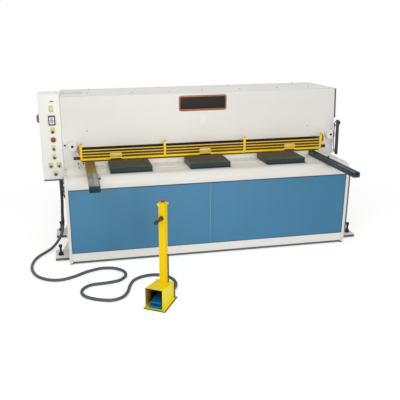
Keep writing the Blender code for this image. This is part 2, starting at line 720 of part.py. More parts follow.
def control_box():
    """The box with a collar for each push button."""
    made = box("control_box", (BOX_LEFT, BOX_FRONT, BOX_BOTTOM),
               (BOX_RIGHT, BOX_FRONT + BOX_DEPTH, BOX_TOP), "ivory_paint")
    bevel(made, BOX_EDGE_R, 4)
    collars = [(CONTROL_X, START_AT, BUTTON_R), (CONTROL_X - CONTROL_SPREAD, JOG_AT, BUTTON_R),
               (CONTROL_X + CONTROL_SPREAD, JOG_AT, BUTTON_R), (CONTROL_X, STOP_AT, STOP_STEM_R)]
    for index, (x, share, radius) in enumerate(collars):
        ring = turned(f"collar_{index}", collar_profile(radius), None, 24)
        ring.location = (x, BOX_FRONT + COLLAR_SINK, box_height(share))
        ring.rotation_euler = turn_to((0, -1, 0))
        join(made, ring)
    return made


def collar_profile(radius):
    """A ring that a button of this radius slides in, sunk a little into what carries it."""
    inner = radius + SLIDE_FIT
    outer = inner + COLLAR_WALL
    top = COLLAR_SINK + COLLAR_RISE
    return [(inner, top), (outer - OVERLAP, top), (outer, top - OVERLAP), (outer, 0), (inner, 0),
            (inner, top)]


def forward(name, profile, slot, x, share, sides=24):
    """A turned piece that faces the operator on the control box's front."""
    made = turned(name, profile, slot, sides)
    made.location = (x, BOX_FRONT - GAP, box_height(share))
    made.rotation_euler = turn_to((0, -1, 0))
    return made


def mushroom_profile():
    """A stop button's head on its stem; the head clears the collar when it is pressed."""
    under = STOP_TRAVEL + COLLAR_RISE + GAP
    return [(0, under + MUSHROOM_HEIGHT), (MUSHROOM_R * 0.6, under + MUSHROOM_HEIGHT * 0.88),
            (MUSHROOM_R, under + MUSHROOM_HEIGHT * 0.35), (MUSHROOM_R, under + OVERLAP),
            (MUSHROOM_R - OVERLAP, under), (STOP_STEM_R, under), (STOP_STEM_R, STOP_TRAVEL),
            (0, STOP_TRAVEL)]


def controls():
    """Lamp, timer, buttons, selectors and the rotary main switch."""
    lamp = [(0, LAMP_HEIGHT), (LAMP_R * 0.55, LAMP_HEIGHT * 0.94), (LAMP_R * 0.95, LAMP_HEIGHT * 0.62),
            (LAMP_R, 0), (0, 0)]
    forward("lamp", lamp, "lamp_white", CONTROL_X, LAMP_AT)
    timer_z = box_height(TIMER_AT)
    timer = box("timer", (CONTROL_X - TIMER_WIDTH / 2, BOX_FRONT - TIMER_DEPTH, timer_z - TIMER_HEIGHT / 2),
                (CONTROL_X + TIMER_WIDTH / 2, BOX_FRONT - GAP, timer_z + TIMER_HEIGHT / 2),
                "black_plastic")
    bevel(timer, EDGE)
    top = BUTTON_TRAVEL + BUTTON_HEIGHT
    button = [(0, top), (BUTTON_R - OVERLAP, top), (BUTTON_R, top - OVERLAP), (BUTTON_R, BUTTON_TRAVEL),
              (0, BUTTON_TRAVEL)]
    forward("start_button", button, "black_plastic", CONTROL_X, START_AT)
    forward("jog_button_left", button, "black_plastic", CONTROL_X - CONTROL_SPREAD, JOG_AT)
    forward("jog_button_right", button, "black_plastic", CONTROL_X + CONTROL_SPREAD, JOG_AT)
    forward("panel_stop_button", mushroom_profile(), "red_plastic", CONTROL_X, STOP_AT)
    knob = [(0, KNOB_HEIGHT), (KNOB_R - OVERLAP, KNOB_HEIGHT), (KNOB_R, KNOB_HEIGHT - OVERLAP),
            (KNOB_R, 0), (0, 0)]
    for name, share in (("light_selector", LIGHT_AT), ("mode_selector", MODE_AT),
                        ("gauge_selector", GAUGE_AT)):
        base = forward(name, knob, "black_plastic", CONTROL_X, share)
        grip = box(name + "_grip", (-KNOB_GRIP / 2, -KNOB_R * 0.95, KNOB_HEIGHT - EDGE),
                   (KNOB_GRIP / 2, KNOB_R * 0.95, KNOB_GRIP_HEIGHT), None)
        grip.parent = base
        join(base, grip)
    switch = turned("main_switch", [(0, SWITCH_REACH), (SWITCH_GRIP_R, SWITCH_REACH),
                                    (SWITCH_GRIP_R, SWITCH_PLATE + EDGE), (SWITCH_R, SWITCH_PLATE),
                                    (SWITCH_R, 0), (0, 0)], "red_plastic", 32)
    switch.location = (BOX_LEFT - GAP, SWITCH_Y, box_height(MAIN_SWITCH_AT))
    switch.rotation_euler = turn_to((-1, 0, 0))


def arms():
    """The squaring arm on the left and the slotted support arm on the right."""
    arm = box("squaring_arm", (SQUARE_ARM_X, SQUARE_ARM_TIP, BED_HEIGHT + GAP),
              (SQUARE_ARM_X + SQUARE_ARM_WIDTH, PAD_REAR, WORK_LEVEL), "steel")
    bevel(arm, EDGE)
    left = BED_LENGTH - SUPPORT_ARM_INSET
    bar = box("support_arm", (left, SUPPORT_ARM_TIP, BED_HEIGHT + GAP),
              (left + SUPPORT_ARM_WIDTH, PAD_REAR, WORK_LEVEL), "slate_metal")
    middle = left + SUPPORT_ARM_WIDTH / 2
    tee = [(-ARM_SLOT_WIDTH / 2, EDGE), (-ARM_SLOT_WIDTH / 2, -ARM_SLOT_DEPTH),
           (-ARM_TEE_WIDTH / 2, -ARM_SLOT_DEPTH), (-ARM_TEE_WIDTH / 2, -ARM_TEE_DEPTH),
           (ARM_TEE_WIDTH / 2, -ARM_TEE_DEPTH), (ARM_TEE_WIDTH / 2, -ARM_SLOT_DEPTH),
           (ARM_SLOT_WIDTH / 2, -ARM_SLOT_DEPTH), (ARM_SLOT_WIDTH / 2, EDGE)]
    cut(bar, outline("support_arm_slot", [(middle + x, WORK_LEVEL + z) for x, z in tee],
                     SUPPORT_ARM_TIP - EDGE, PAD_REAR + EDGE, None, axis="Y"))


def tube(name, points, radius, slot, sides=2):
    curve = bpy.data.curves.new(name, "CURVE")
    curve.dimensions = "3D"
    curve.bevel_depth = radius
    curve.bevel_resolution = sides
    curve.use_fill_caps = True
    spline = curve.splines.new("POLY")
    spline.points.add(len(points) - 1)
    for point, place in zip(spline.points, points):
        point.co = (*place, 1)
    curve.materials.append(MATERIALS[slot])
    made = bpy.data.objects.new(name, curve)
    PARTS.objects.link(made)
    return made


def conduit():
    """The conduit from the control box's floor down to the coupling that the cord leaves."""
    rod("conduit", (CONDUIT_X, CONDUIT_Y, COUPLING_TOP + GAP), (CONDUIT_X, CONDUIT_Y, BOX_BOTTOM - GAP),
        CONDUIT_R, "black_plastic", 16)
    height = COUPLING_TOP - COUPLING_BOTTOM
    neck = COUPLING_R * 0.85
    profile = [(0, height), (neck, height), (COUPLING_R, height - COUPLING_EDGE),
               (COUPLING_R, height * 0.60), (neck, height * 0.55), (neck, height * 0.45),
               (COUPLING_R, height * 0.40), (COUPLING_R, COUPLING_EDGE), (neck, 0), (0, 0)]
    made = turned("conduit_coupling", profile, "black_plastic", 24)
    made.location = (CONDUIT_X, CONDUIT_Y, COUPLING_BOTTOM)


# The cord's route on the floor, from the coupling to the pedestal, chosen by hand.
CORD_ROUTE = (
    (-0.0820, 0.5000, 0.2793), (-0.0820, 0.5000, 0.2400), (-0.0895, 0.4945, 0.1850),
    (-0.1120, 0.4780, 0.1260), (-0.1520, 0.4490, 0.0710), (-0.2050, 0.4030, 0.0300),
    (-0.2660, 0.3350, 0.0165), (-0.3300, 0.2450, 0.0150), (-0.3720, 0.1400, 0.0150),
    (-0.3890, 0.0200, 0.0150), (-0.3750, -0.1100, 0.0150), (-0.3200, -0.2350, 0.0150),
    (-0.2250, -0.3200, 0.0150), (-0.1100, -0.3450, 0.0150), (0.0100, -0.3000, 0.0150),
    (0.1300, -0.2200, 0.0150), (0.2650, -0.1720, 0.0150), (0.3850, -0.1950, 0.0150),
    (0.4650, -0.2750, 0.0150), (0.4742, -0.3751, 0.0150), (0.4100, -0.4593, 0.0150),
    (0.2905, -0.4904, 0.0150), (0.1606, -0.5016, 0.0150), (0.0866, -0.5593, 0.0150),
    (0.0667, -0.6413, 0.0150), (0.1045, -0.7226, 0.0150), (0.2054, -0.7906, 0.0150),
    (0.3150, -0.8215, 0.0150), (0.4050, -0.7850, 0.0150), (0.4580, -0.7000, 0.0150),
    (0.4900, -0.5900, 0.0150), (0.5400, -0.4850, 0.0150), (0.6250, -0.4250, 0.0150),
    (0.7250, -0.4100, 0.0150), (0.8150, -0.4380, 0.0150), (0.8750, -0.5050, 0.0150),
    (0.8980, -0.5900, 0.0150), (0.8880, -0.6740, 0.0180),
)


def smooth_path(points, spacing):
    """Points at an even spacing along a smooth curve through the given ones."""
    dense = []
    padded = [points[0]] + list(points) + [points[-1]]
    for index in range(len(points) - 1):
        a, b, c, d = (Vector(p) for p in padded[index:index + 4])
        for step in range(24):
            t = step / 24
            dense.append(0.5 * ((2 * b) + (c - a) * t + (2 * a - 5 * b + 4 * c - d) * t ** 2
                                + (3 * b - a - 3 * c + d) * t ** 3))
    dense.append(Vector(points[-1]))
    total = sum((q - p).length for p, q in zip(dense, dense[1:]))
    count = max(2, round(total / spacing))
    picked, travelled, target = [dense[0]], 0.0, total / count
    for p, q in zip(dense, dense[1:]):
        travelled += (q - p).length
        while travelled >= target - 1e-9 and len(picked) < count:
            picked.append(q)
            target += total / count
    picked.append(dense[-1])
    return picked


def pedal_point(x, y, z):
    """A point in the pedestal's own frame, in the machine's frame."""
    turn = math.radians(PEDAL_TURN)
    return Vector((PEDAL_X + x * math.cos(turn) - y * math.sin(turn),
                   PEDAL_Y + x * math.sin(turn) + y * math.cos(turn), z))


def cord():
    gland_end = -BASE_LENGTH / 2 + HOOD_INSET + HOOD_LENGTH + GAP + GLAND_LENGTH + GAP
    end = pedal_point(GLAND_X, gland_end, GLAND_Z)
    before = pedal_point(GLAND_X, gland_end + CORD_STRAIGHT, GLAND_Z)
    route = list(CORD_ROUTE) + [before, end]
    tube("pedal_cord", smooth_path(route, CORD_SPACING), CORD_R, "cord_grey")


def place_on_pedestal(made):
    """Moves an object built in the pedestal's own frame to where the pedestal stands."""
    place = Matrix.Translation((PEDAL_X, PEDAL_Y, 0)) @ Matrix.Rotation(
        math.radians(PEDAL_TURN), 4, "Z")
    bpy.context.view_layer.update()
    made.matrix_world = place @ made.matrix_world
    return made


def hood():
    """The base plate and the hood over it, open to the front and lower at the rear."""
    front = -BASE_LENGTH / 2
    mouth = front + HOOD_INSET
    rear = mouth + HOOD_LENGTH
    fall = (HOOD_FRONT_HEIGHT - HOOD_REAR_HEIGHT) / HOOD_LENGTH
    made = box("pedal_hood", (-BASE_WIDTH / 2, front, 0), (BASE_WIDTH / 2, -front, BASE_PLATE),
               "yellow_paint")
    outside = [(mouth, BASE_PLATE - OVERLAP), (rear, BASE_PLATE - OVERLAP), (rear, HOOD_REAR_HEIGHT),
               (mouth, HOOD_FRONT_HEIGHT)]
    inner_rear = rear - HOOD_SHEET
    start = front - BASE_PLATE
    inside = [(start, BASE_PLATE), (inner_rear, BASE_PLATE),
              (inner_rear, HOOD_REAR_HEIGHT - HOOD_SHEET),
              (start, HOOD_REAR_HEIGHT - HOOD_SHEET + fall * (inner_rear - start))]
    half = HOOD_WIDTH / 2
    shell = outline("pedal_hood_shell", outside, -half, half, None)
    space = outline("pedal_hood_inside", inside, -half + HOOD_SHEET, half - HOOD_SHEET, None)
    join(made, shell)
    cut(made, space)
    return [made, shell, space]


def column():
    """The square post on the sloping hood, its cap with a stop button, and the peg handle."""
    mouth = -BASE_LENGTH / 2 + HOOD_INSET
    fall = (HOOD_FRONT_HEIGHT - HOOD_REAR_HEIGHT) / HOOD_LENGTH
    side = COLUMN_SIZE / 2
    front, rear = COLUMN_SETBACK - side, COLUMN_SETBACK + side
    points = [(front, HOOD_FRONT_HEIGHT - fall * (front - mouth) + GAP),
              (rear, HOOD_FRONT_HEIGHT - fall * (rear - mouth) + GAP),
              (rear, COLUMN_TOP), (front, COLUMN_TOP)]
    post = outline("pedal_column", points, -side, side, "yellow_paint")
    cap_side = CAP_SIZE / 2
    cap_top = COLUMN_TOP + CAP_HEIGHT
    cap = box("pedal_column_cap", (-cap_side, COLUMN_SETBACK - cap_side, COLUMN_TOP - OVERLAP),
              (cap_side, COLUMN_SETBACK + cap_side, cap_top), None)
    join(post, cap)
    collar = turned("pedal_stop_collar", collar_profile(STOP_STEM_R), None, 24)
    collar.location = (0, COLUMN_SETBACK, cap_top - COLLAR_SINK)
    join(post, collar)
    stop = turned("pedal_stop_button", mushroom_profile(), "red_plastic", 24)
    stop.location = (0, COLUMN_SETBACK, cap_top + GAP)
    knob_start = HANDLE_REACH - HANDLE_KNOB_LENGTH
    profile = [(0, HANDLE_REACH), (HANDLE_KNOB_R * 0.75, HANDLE_REACH),
               (HANDLE_KNOB_R, HANDLE_REACH - EDGE), (HANDLE_KNOB_R, knob_start),
               (HANDLE_R, knob_start - EDGE), (HANDLE_R, HANDLE_FOOT_LENGTH + EDGE),
               (HANDLE_FOOT_R, HANDLE_FOOT_LENGTH), (HANDLE_FOOT_R, 0), (0, 0)]
    handle = turned("column_handle", profile, "black_plastic", 20)
    handle.location = (0, front - GAP, HANDLE_Z)
    handle.rotation_euler = turn_to((0, -1, 0))
    return [post, cap, collar, stop, handle]


def foot_switch():
    """A base with two ears near its front, and the treadle that rises to the rear from their pin."""
    pieces = []
    start = -BASE_LENGTH / 2 + SWITCH_BASE_INSET
    half = SWITCH_BASE_WIDTH / 2
    top = BASE_PLATE + GAP + SWITCH_BASE_HEIGHT
    base = box("switch_base", (-half, start, BASE_PLATE + GAP), (half, start + SWITCH_BASE_LENGTH, top),
               "switch_blue")
    pieces.append(base)
    ear_y = start + EAR_SETBACK
    for index, sign in enumerate((-1, 1)):
        low, high = sorted((sign * (TREADLE_WIDTH / 2 + EAR_CLEARANCE), sign * half))
        ear = box(f"switch_ear_{index}", (low, ear_y - EAR_HALF, top - OVERLAP),
                  (high, ear_y + EAR_HALF, TREADLE_AXIS_Z + EAR_RISE), None)
        join(base, ear)
        pieces.append(ear)
    pin = rod("switch_pin", (-half + OVERLAP, ear_y, TREADLE_AXIS_Z), (half - OVERLAP, ear_y, TREADLE_AXIS_Z),
              TREADLE_PIVOT_R, None, 20)
    join(base, pin)
    pieces.append(pin)
    treadle = box("treadle", (-TREADLE_WIDTH / 2, -TREADLE_NOSE, -TREADLE_PLATE / 2),
                  (TREADLE_WIDTH / 2, TREADLE_LENGTH, TREADLE_PLATE / 2), "switch_blue")
    hub = rod("treadle_hub", (-TREADLE_WIDTH / 2, 0, 0), (TREADLE_WIDTH / 2, 0, 0), TREADLE_HUB_R, None)
    bore = rod("treadle_bore", (-TREADLE_WIDTH, 0, 0), (TREADLE_WIDTH, 0, 0),
               TREADLE_PIVOT_R + SLIDE_FIT, None, 20)
    pivot = bpy.data.objects.new("treadle_axis", None)
    PARTS.objects.link(pivot)
    pivot.location = (0, ear_y, TREADLE_AXIS_Z)
    pivot.rotation_euler = (math.radians(TREADLE_REST), 0, 0)
    for piece in (treadle, hub, bore):
        piece.parent = pivot
    join(treadle, hub)
    cut(treadle, bore)
    pieces.append(pivot)
    return pieces


def gland():
    """The gland on the hood's rear that the cord goes into."""
    rear = -BASE_LENGTH / 2 + HOOD_INSET + HOOD_LENGTH
    profile = [(0, GLAND_LENGTH), (GLAND_NECK_R, GLAND_LENGTH), (GLAND_R, GLAND_LENGTH - GLAND_EDGE),
               (GLAND_R, GLAND_EDGE), (GLAND_NECK_R, EDGE), (GLAND_NECK_R, 0), (0, 0)]
    made = turned("cord_gland", profile, "black_plastic", 20)
    made.location = (GLAND_X, rear + GAP, GLAND_Z)
    made.rotation_euler = turn_to((0, 1, 0))
    return [made]


def pedestal():
    for piece in hood() + column() + foot_switch() + gland():
        place_on_pedestal(piece)


def centre_on_origin():
    """Moves every piece, so that the origin is on the floor under the object's middle."""
    root = bpy.data.objects.new("shear", None)
    PARTS.objects.link(root)
    root.location = -ORIGIN
    for item in list(PARTS.objects) + list(CUTTERS.objects):
        if item.parent is None and item is not root:
            item.parent = root


def main():
    global PARTS, CUTTERS
    clear_scene()
    PARTS = bpy.data.collections.new("hydraulic_shear")
    CUTTERS = bpy.data.collections.new("cutters")
    bpy.context.scene.collection.children.link(PARTS)
    bpy.context.scene.collection.children.link(CUTTERS)
    make_materials()
    side_frame("left_side_frame", False)
    side_frame("right_side_frame", True)
    for side, x in (("left", LEFT_JACK_X), ("right", RIGHT_JACK_X)):
        levelling_jack(f"levelling_jack_{side}_front", x, FRONT_FOOT_Y + JACK_INSET)
        levelling_jack(f"levelling_jack_{side}_rear", x, REAR_FOOT_Y + FOOT_LENGTH - JACK_INSET)
    bed()
    lower_blade()
    front_panels()
    rails()
    pads()
    ram()
    holddown()
    housing()
    bosses()
    guard()
    throat_cover()
    control_box()
    controls()
    arms()
    conduit()
    cord()
    pedestal()
    centre_on_origin()
    bpy.context.view_layer.update()


main()
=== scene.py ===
"""The look of the hydraulic shear: camera, cord, materials, details, floor and light."""

import math

import bmesh
import bpy
from mathutils import Matrix, Vector


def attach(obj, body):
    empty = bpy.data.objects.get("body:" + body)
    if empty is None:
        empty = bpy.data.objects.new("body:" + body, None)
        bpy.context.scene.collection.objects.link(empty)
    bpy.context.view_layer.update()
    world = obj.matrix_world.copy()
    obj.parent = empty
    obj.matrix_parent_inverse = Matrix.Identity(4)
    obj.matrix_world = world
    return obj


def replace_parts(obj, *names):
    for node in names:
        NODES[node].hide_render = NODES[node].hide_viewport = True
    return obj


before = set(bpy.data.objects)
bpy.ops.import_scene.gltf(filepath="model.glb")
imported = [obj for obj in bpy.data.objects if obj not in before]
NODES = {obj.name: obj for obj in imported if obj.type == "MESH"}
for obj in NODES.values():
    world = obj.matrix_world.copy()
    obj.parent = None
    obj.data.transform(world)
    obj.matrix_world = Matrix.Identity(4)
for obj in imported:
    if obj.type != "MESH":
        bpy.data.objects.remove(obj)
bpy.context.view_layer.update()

# The machine's own frame starts at the left end of the front panels; this is the model's origin in it.
ORIGIN = Vector((1.3747, 0.007965, 0))


def at(x, y, z):
    """A point of the machine's own frame, in the model's frame."""
    return Vector((x, y, z)) - ORIGIN


def add_object(name, data):
    made = bpy.data.objects.new(name, data)
    bpy.context.scene.collection.objects.link(made)
    return made


# Camera, solved from the machine's straight edges
CAMERA_PLACE = (0.0708, -4.8645, 2.1744)
FOCAL_PIXELS = 534.41
VIEW_CENTER = (166, 196)
YAW = math.radians(9.99)
PITCH = math.radians(17.264)
ROLL = math.radians(0.713)
IMAGE_SIZE = 400
SENSOR = 36.0


def make_camera():
    ahead = Vector((math.sin(YAW) * math.cos(PITCH), math.cos(YAW) * math.cos(PITCH), -math.sin(PITCH)))
    right = Vector((math.cos(YAW), -math.sin(YAW), 0))
    down = ahead.cross(right)
    across = right * math.cos(ROLL) + down * math.sin(ROLL)
    below = down * math.cos(ROLL) - right * math.sin(ROLL)
    data = bpy.data.cameras.new("camera")
    data.sensor_width = SENSOR
    data.lens = SENSOR * FOCAL_PIXELS / IMAGE_SIZE
    data.shift_x = (IMAGE_SIZE / 2 - VIEW_CENTER[0]) / IMAGE_SIZE
    data.shift_y = (VIEW_CENTER[1] - IMAGE_SIZE / 2) / IMAGE_SIZE
    data.clip_end = 60
    camera = add_object("camera", data)
    place = at(*CAMERA_PLACE)
    camera.matrix_world = Matrix((
        (across.x, -below.x, -ahead.x, place.x),
        (across.y, -below.y, -ahead.y, place.y),
        (across.z, -below.z, -ahead.z, place.z),
        (0, 0, 0, 1)))
    bpy.context.scene.camera = camera


make_camera()

# The cord's route, in the machine's own frame, as in the part's source.
CORD_R = 0.0145
RIB = 0.0104
CORD_ROUTE = (
    (-0.0820, 0.5000, 0.2793), (-0.0820, 0.5000, 0.2400), (-0.0895, 0.4945, 0.1850),
    (-0.1120, 0.4780, 0.1260), (-0.1520, 0.4490, 0.0710), (-0.2050, 0.4030, 0.0300),
    (-0.2660, 0.3350, 0.0165), (-0.3300, 0.2450, 0.0150), (-0.3720, 0.1400, 0.0150),
    (-0.3890, 0.0200, 0.0150), (-0.3750, -0.1100, 0.0150), (-0.3200, -0.2350, 0.0150),
    (-0.2250, -0.3200, 0.0150), (-0.1100, -0.3450, 0.0150), (0.0100, -0.3000, 0.0150),
    (0.1300, -0.2200, 0.0150), (0.2650, -0.1720, 0.0150), (0.3850, -0.1950, 0.0150),
    (0.4650, -0.2750, 0.0150), (0.4742, -0.3751, 0.0150), (0.4100, -0.4593, 0.0150),
    (0.2905, -0.4904, 0.0150), (0.1606, -0.5016, 0.0150), (0.0866, -0.5593, 0.0150),
    (0.0667, -0.6413, 0.0150), (0.1045, -0.7226, 0.0150), (0.2054, -0.7906, 0.0150),
    (0.3150, -0.8215, 0.0150), (0.4050, -0.7850, 0.0150), (0.4580, -0.7000, 0.0150),
    (0.4900, -0.5900, 0.0150), (0.5400, -0.4850, 0.0150), (0.6250, -0.4250, 0.0150),
    (0.7250, -0.4100, 0.0150), (0.8150, -0.4380, 0.0150), (0.8750, -0.5050, 0.0150),
    (0.8980, -0.5900, 0.0150), (0.8880, -0.6740, 0.0180),
)


# Meshes. Every builder works in the machine's own frame, and piece() moves the result.
MATERIALS = {}


def piece(name, build, look, slot, body="machine", smooth=32.0):
    """An object from a function that adds shapes to a bmesh, riding on a body."""
    shape = bmesh.new()
    build(shape)
    bmesh.ops.recalc_face_normals(shape, faces=shape.faces)
    bmesh.ops.translate(shape, verts=shape.verts, vec=-ORIGIN)
    mesh = bpy.data.meshes.new(name)
    shape.to_mesh(mesh)
    shape.free()
    mesh.shade_smooth()
    mesh.set_sharp_from_angle(angle=math.radians(smooth))
    mesh.materials.append(MATERIALS[look])
    made = add_object(name, mesh)
    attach(made, body)
    return made


def drawn(look, slot, body="machine", smooth=32.0, maker=piece):
    """Stands above a function that draws a shape, and makes the piece of that name from it."""
    return lambda build: maker(build.__name__, build, look, slot, body, smooth)


def block(shape, low, high, edge=0.0, steps=2, turn=None):
    """A box between two corners with rounded edges; turn is a matrix put on it afterwards."""
    low, high = Vector(low), Vector(high)
    made = bmesh.ops.create_cube(shape, size=1.0, matrix=Matrix.Translation((low + high) / 2)
        @ Matrix.Diagonal((*(high - low), 1.0)))["verts"]
    if edge:
        edges = list({e for v in made for e in v.link_edges})
        done = bmesh.ops.bevel(shape, geom=edges, offset=edge, offset_type="OFFSET", segments=steps,
            profile=0.5, affect="EDGES", clamp_overlap=True)
        made = list({v for f in done["faces"] for v in f.verts} | {v for v in made if v.is_valid})
    if turn:
        bmesh.ops.transform(shape, matrix=turn, verts=made)
    return made


def facing(place, axis):
    """The matrix that puts a shape built along +Z at a place, pointing along an axis."""
    turn = Vector((0, 0, 1)).rotation_difference(Vector(axis))
    return Matrix.Translation(place) @ turn.to_matrix().to_4x4()


def lathe(shape, place, axis, profile, sides=24):
    """A turned shape from (radius, height) points along an axis, closed where the radius is nought."""
    turn = facing(place, axis)
    rings = []
    for radius, height in profile:
        if radius == 0:
            rings.append([shape.verts.new(turn @ Vector((0, 0, height)))])
            continue
        rings.append([shape.verts.new(turn @ Vector((radius * math.cos(a), radius * math.sin(a), height)))
            for a in (2 * math.pi * k / sides for k in range(sides))])
    for one, two in zip(rings, rings[1:]):
        for k in range(sides):
            j = (k + 1) % sides
            corners = [one[k % len(one)], one[j % len(one)], two[j % len(two)], two[k % len(two)]]
            unique = list(dict.fromkeys(corners))
            if len(unique) > 2:
                shape.faces.new(unique)


def prism(shape, points, start, end, axis="X", edge=0.0, turn=None):
    """A flat outline drawn across the other two axes and pushed along one axis."""
    places = {"X": lambda u, v, w: (w, u, v), "Y": lambda u, v, w: (u, w, v), "Z": lambda u, v, w: (u, v, w)}
    low = [shape.verts.new(places[axis](u, v, start)) for u, v in points]
    high = [shape.verts.new(places[axis](u, v, end)) for u, v in points]
    faces = [shape.faces.new(low), shape.faces.new(high)]
    for k in range(len(points)):
        j = (k + 1) % len(points)
        faces.append(shape.faces.new((low[k], low[j], high[j], high[k])))
    made = low + high
    if edge:
        rims = list({e for f in faces[:2] for e in f.edges})
        done = bmesh.ops.bevel(shape, geom=rims, offset=edge, offset_type="OFFSET", segments=2, profile=0.5,
            affect="EDGES", clamp_overlap=True)
        made = list({v for f in done["faces"] for v in f.verts} | {v for v in made if v.is_valid})
    if turn:
        bmesh.ops.transform(shape, matrix=turn, verts=made)
    return made


def arc(x, z, radius, start, end, step):
    """Points round a middle, from one angle in degrees to another."""
    angles = [math.radians(a) for a in range(start, end + 1, step)]
    return [(x + radius * math.cos(a), z + radius * math.sin(a)) for a in angles]


def round_box(x, z, width, height, radius, steps=4):
    """The outline of a rectangle with round corners about a middle."""
    points = []
    for sx, sy, start in ((1, 1, 0), (-1, 1, 90), (-1, -1, 180), (1, -1, 270)):
        for k in range(steps + 1):
            angle = math.radians(start + 90 * k / steps)
            points.append((x + sx * (width / 2 - radius) + radius * math.cos(angle),
                z + sy * (height / 2 - radius) + radius * math.sin(angle)))
    return points


def hex_bolt(shape, place, axis, across=0.017, height=0.007, washer=0.0):
    """A bolt's six-sided chamfered head, on a washer where one is asked for."""
    place, axis = Vector(place), Vector(axis).normalized()
    if washer:
        lathe(shape, place, axis,
            [(0, 0), (washer, 0), (washer, 0.0016), (washer - 0.0006, 0.002), (0, 0.002)])
        place = place + axis * 0.002
    radius = across / math.sqrt(3)
    lathe(shape, place, axis, [(0, 0), (radius, 0), (radius, height * 0.82), (radius * 0.86, height),
        (radius * 0.5, height), (radius * 0.46, height * 0.94), (0, height * 0.94)], 6)


def cap_screw(shape, place, axis, radius=0.008, height=0.008):
    """A round-headed screw with a six-sided socket."""
    socket = radius * 0.52
    lathe(shape, place, axis,
        [(0, 0), (radius, 0), (radius, height * 0.8), (radius * 0.88, height), (socket * 1.15, height)], 18)
    lathe(shape, place, axis,
        [(socket * 1.15, height), (socket, height * 0.96), (socket, height * 0.4), (0, height * 0.4)], 18)


def pan_screw(shape, place, axis, radius=0.006, height=0.0028):
    lathe(shape, place, axis, [(0, 0), (radius, 0), (radius * 0.95, height * 0.45),
        (radius * 0.7, height * 0.85), (radius * 0.35, height), (radius * 0.3, height * 0.55),
        (0, height * 0.5)], 16)


def smooth_path(points, spacing):
    """Points at an even spacing along a smooth curve through the given ones."""
    dense = []
    padded = [points[0]] + list(points) + [points[-1]]
    for index in range(len(points) - 1):
        a, b, c, d = (Vector(p) for p in padded[index:index + 4])
        for step in range(24):
            t = step / 24
            dense.append(0.5 * ((2 * b) + (c - a) * t + (2 * a - 5 * b + 4 * c - d) * t ** 2
                + (3 * b - a - 3 * c + d) * t ** 3))
    dense.append(Vector(points[-1]))
    total = sum((q - p).length for p, q in zip(dense, dense[1:]))
    count = max(2, round(total / spacing))
    picked, travelled, target = [dense[0]], 0.0, total / count
    for p, q in zip(dense, dense[1:]):
        length = (q - p).length
        while length and travelled + length >= target - 1e-9 and len(picked) < count:
            picked.append(p.lerp(q, min(1.0, (target - travelled) / length)))
            target += total / count
        travelled += length
    picked.append(dense[-1])
    return picked


def hose(shape, path, radius_at, sides=14):
    """A tube along a path whose radius is given by the distance along it."""
    rings, travelled = [], 0.0
    normal = None
    for k, place in enumerate(path):
        ahead = (path[min(k + 1, len(path) - 1)] - path[max(k - 1, 0)]).normalized()
        if normal is None:
            normal = ahead.orthogonal().normalized()
        normal = (normal - ahead * normal.dot(ahead)).normalized()
        side = ahead.cross(normal)
        radius = radius_at(travelled)
        rings.append([shape.verts.new(place + (normal * math.cos(a) + side * math.sin(a)) * radius)
            for a in (2 * math.pi * j / sides for j in range(sides))])
        if k + 1 < len(path):
            travelled += (path[k + 1] - place).length
    for one, two in zip(rings, rings[1:]):
        for j in range(sides):
            shape.faces.new((one[j], one[(j + 1) % sides], two[(j + 1) % sides], two[j]))
    shape.faces.new(rings[0])
    shape.faces.new(rings[-1])


def ribbed(radius, depth, pitch):
    """The radius of a ribbed conduit by the distance along it."""
    return lambda run: radius - depth * (0.5 - 0.5 * math.cos(2 * math.pi * run / pitch))


# Shader nodes and materials
def node(tree, kind, inputs=None, **settings):
    """A shader node with its settings, each of its inputs linked to a socket or set to a value."""
    made = tree.nodes.new("ShaderNode" + kind)
    for name, value in settings.items():
        setattr(made, name, value)
    for place, value in (inputs or {}).items():
        if isinstance(value, bpy.types.NodeSocket):
            tree.links.new(value, made.inputs[place])
        else:
            made.inputs[place].default_value = value
    return made


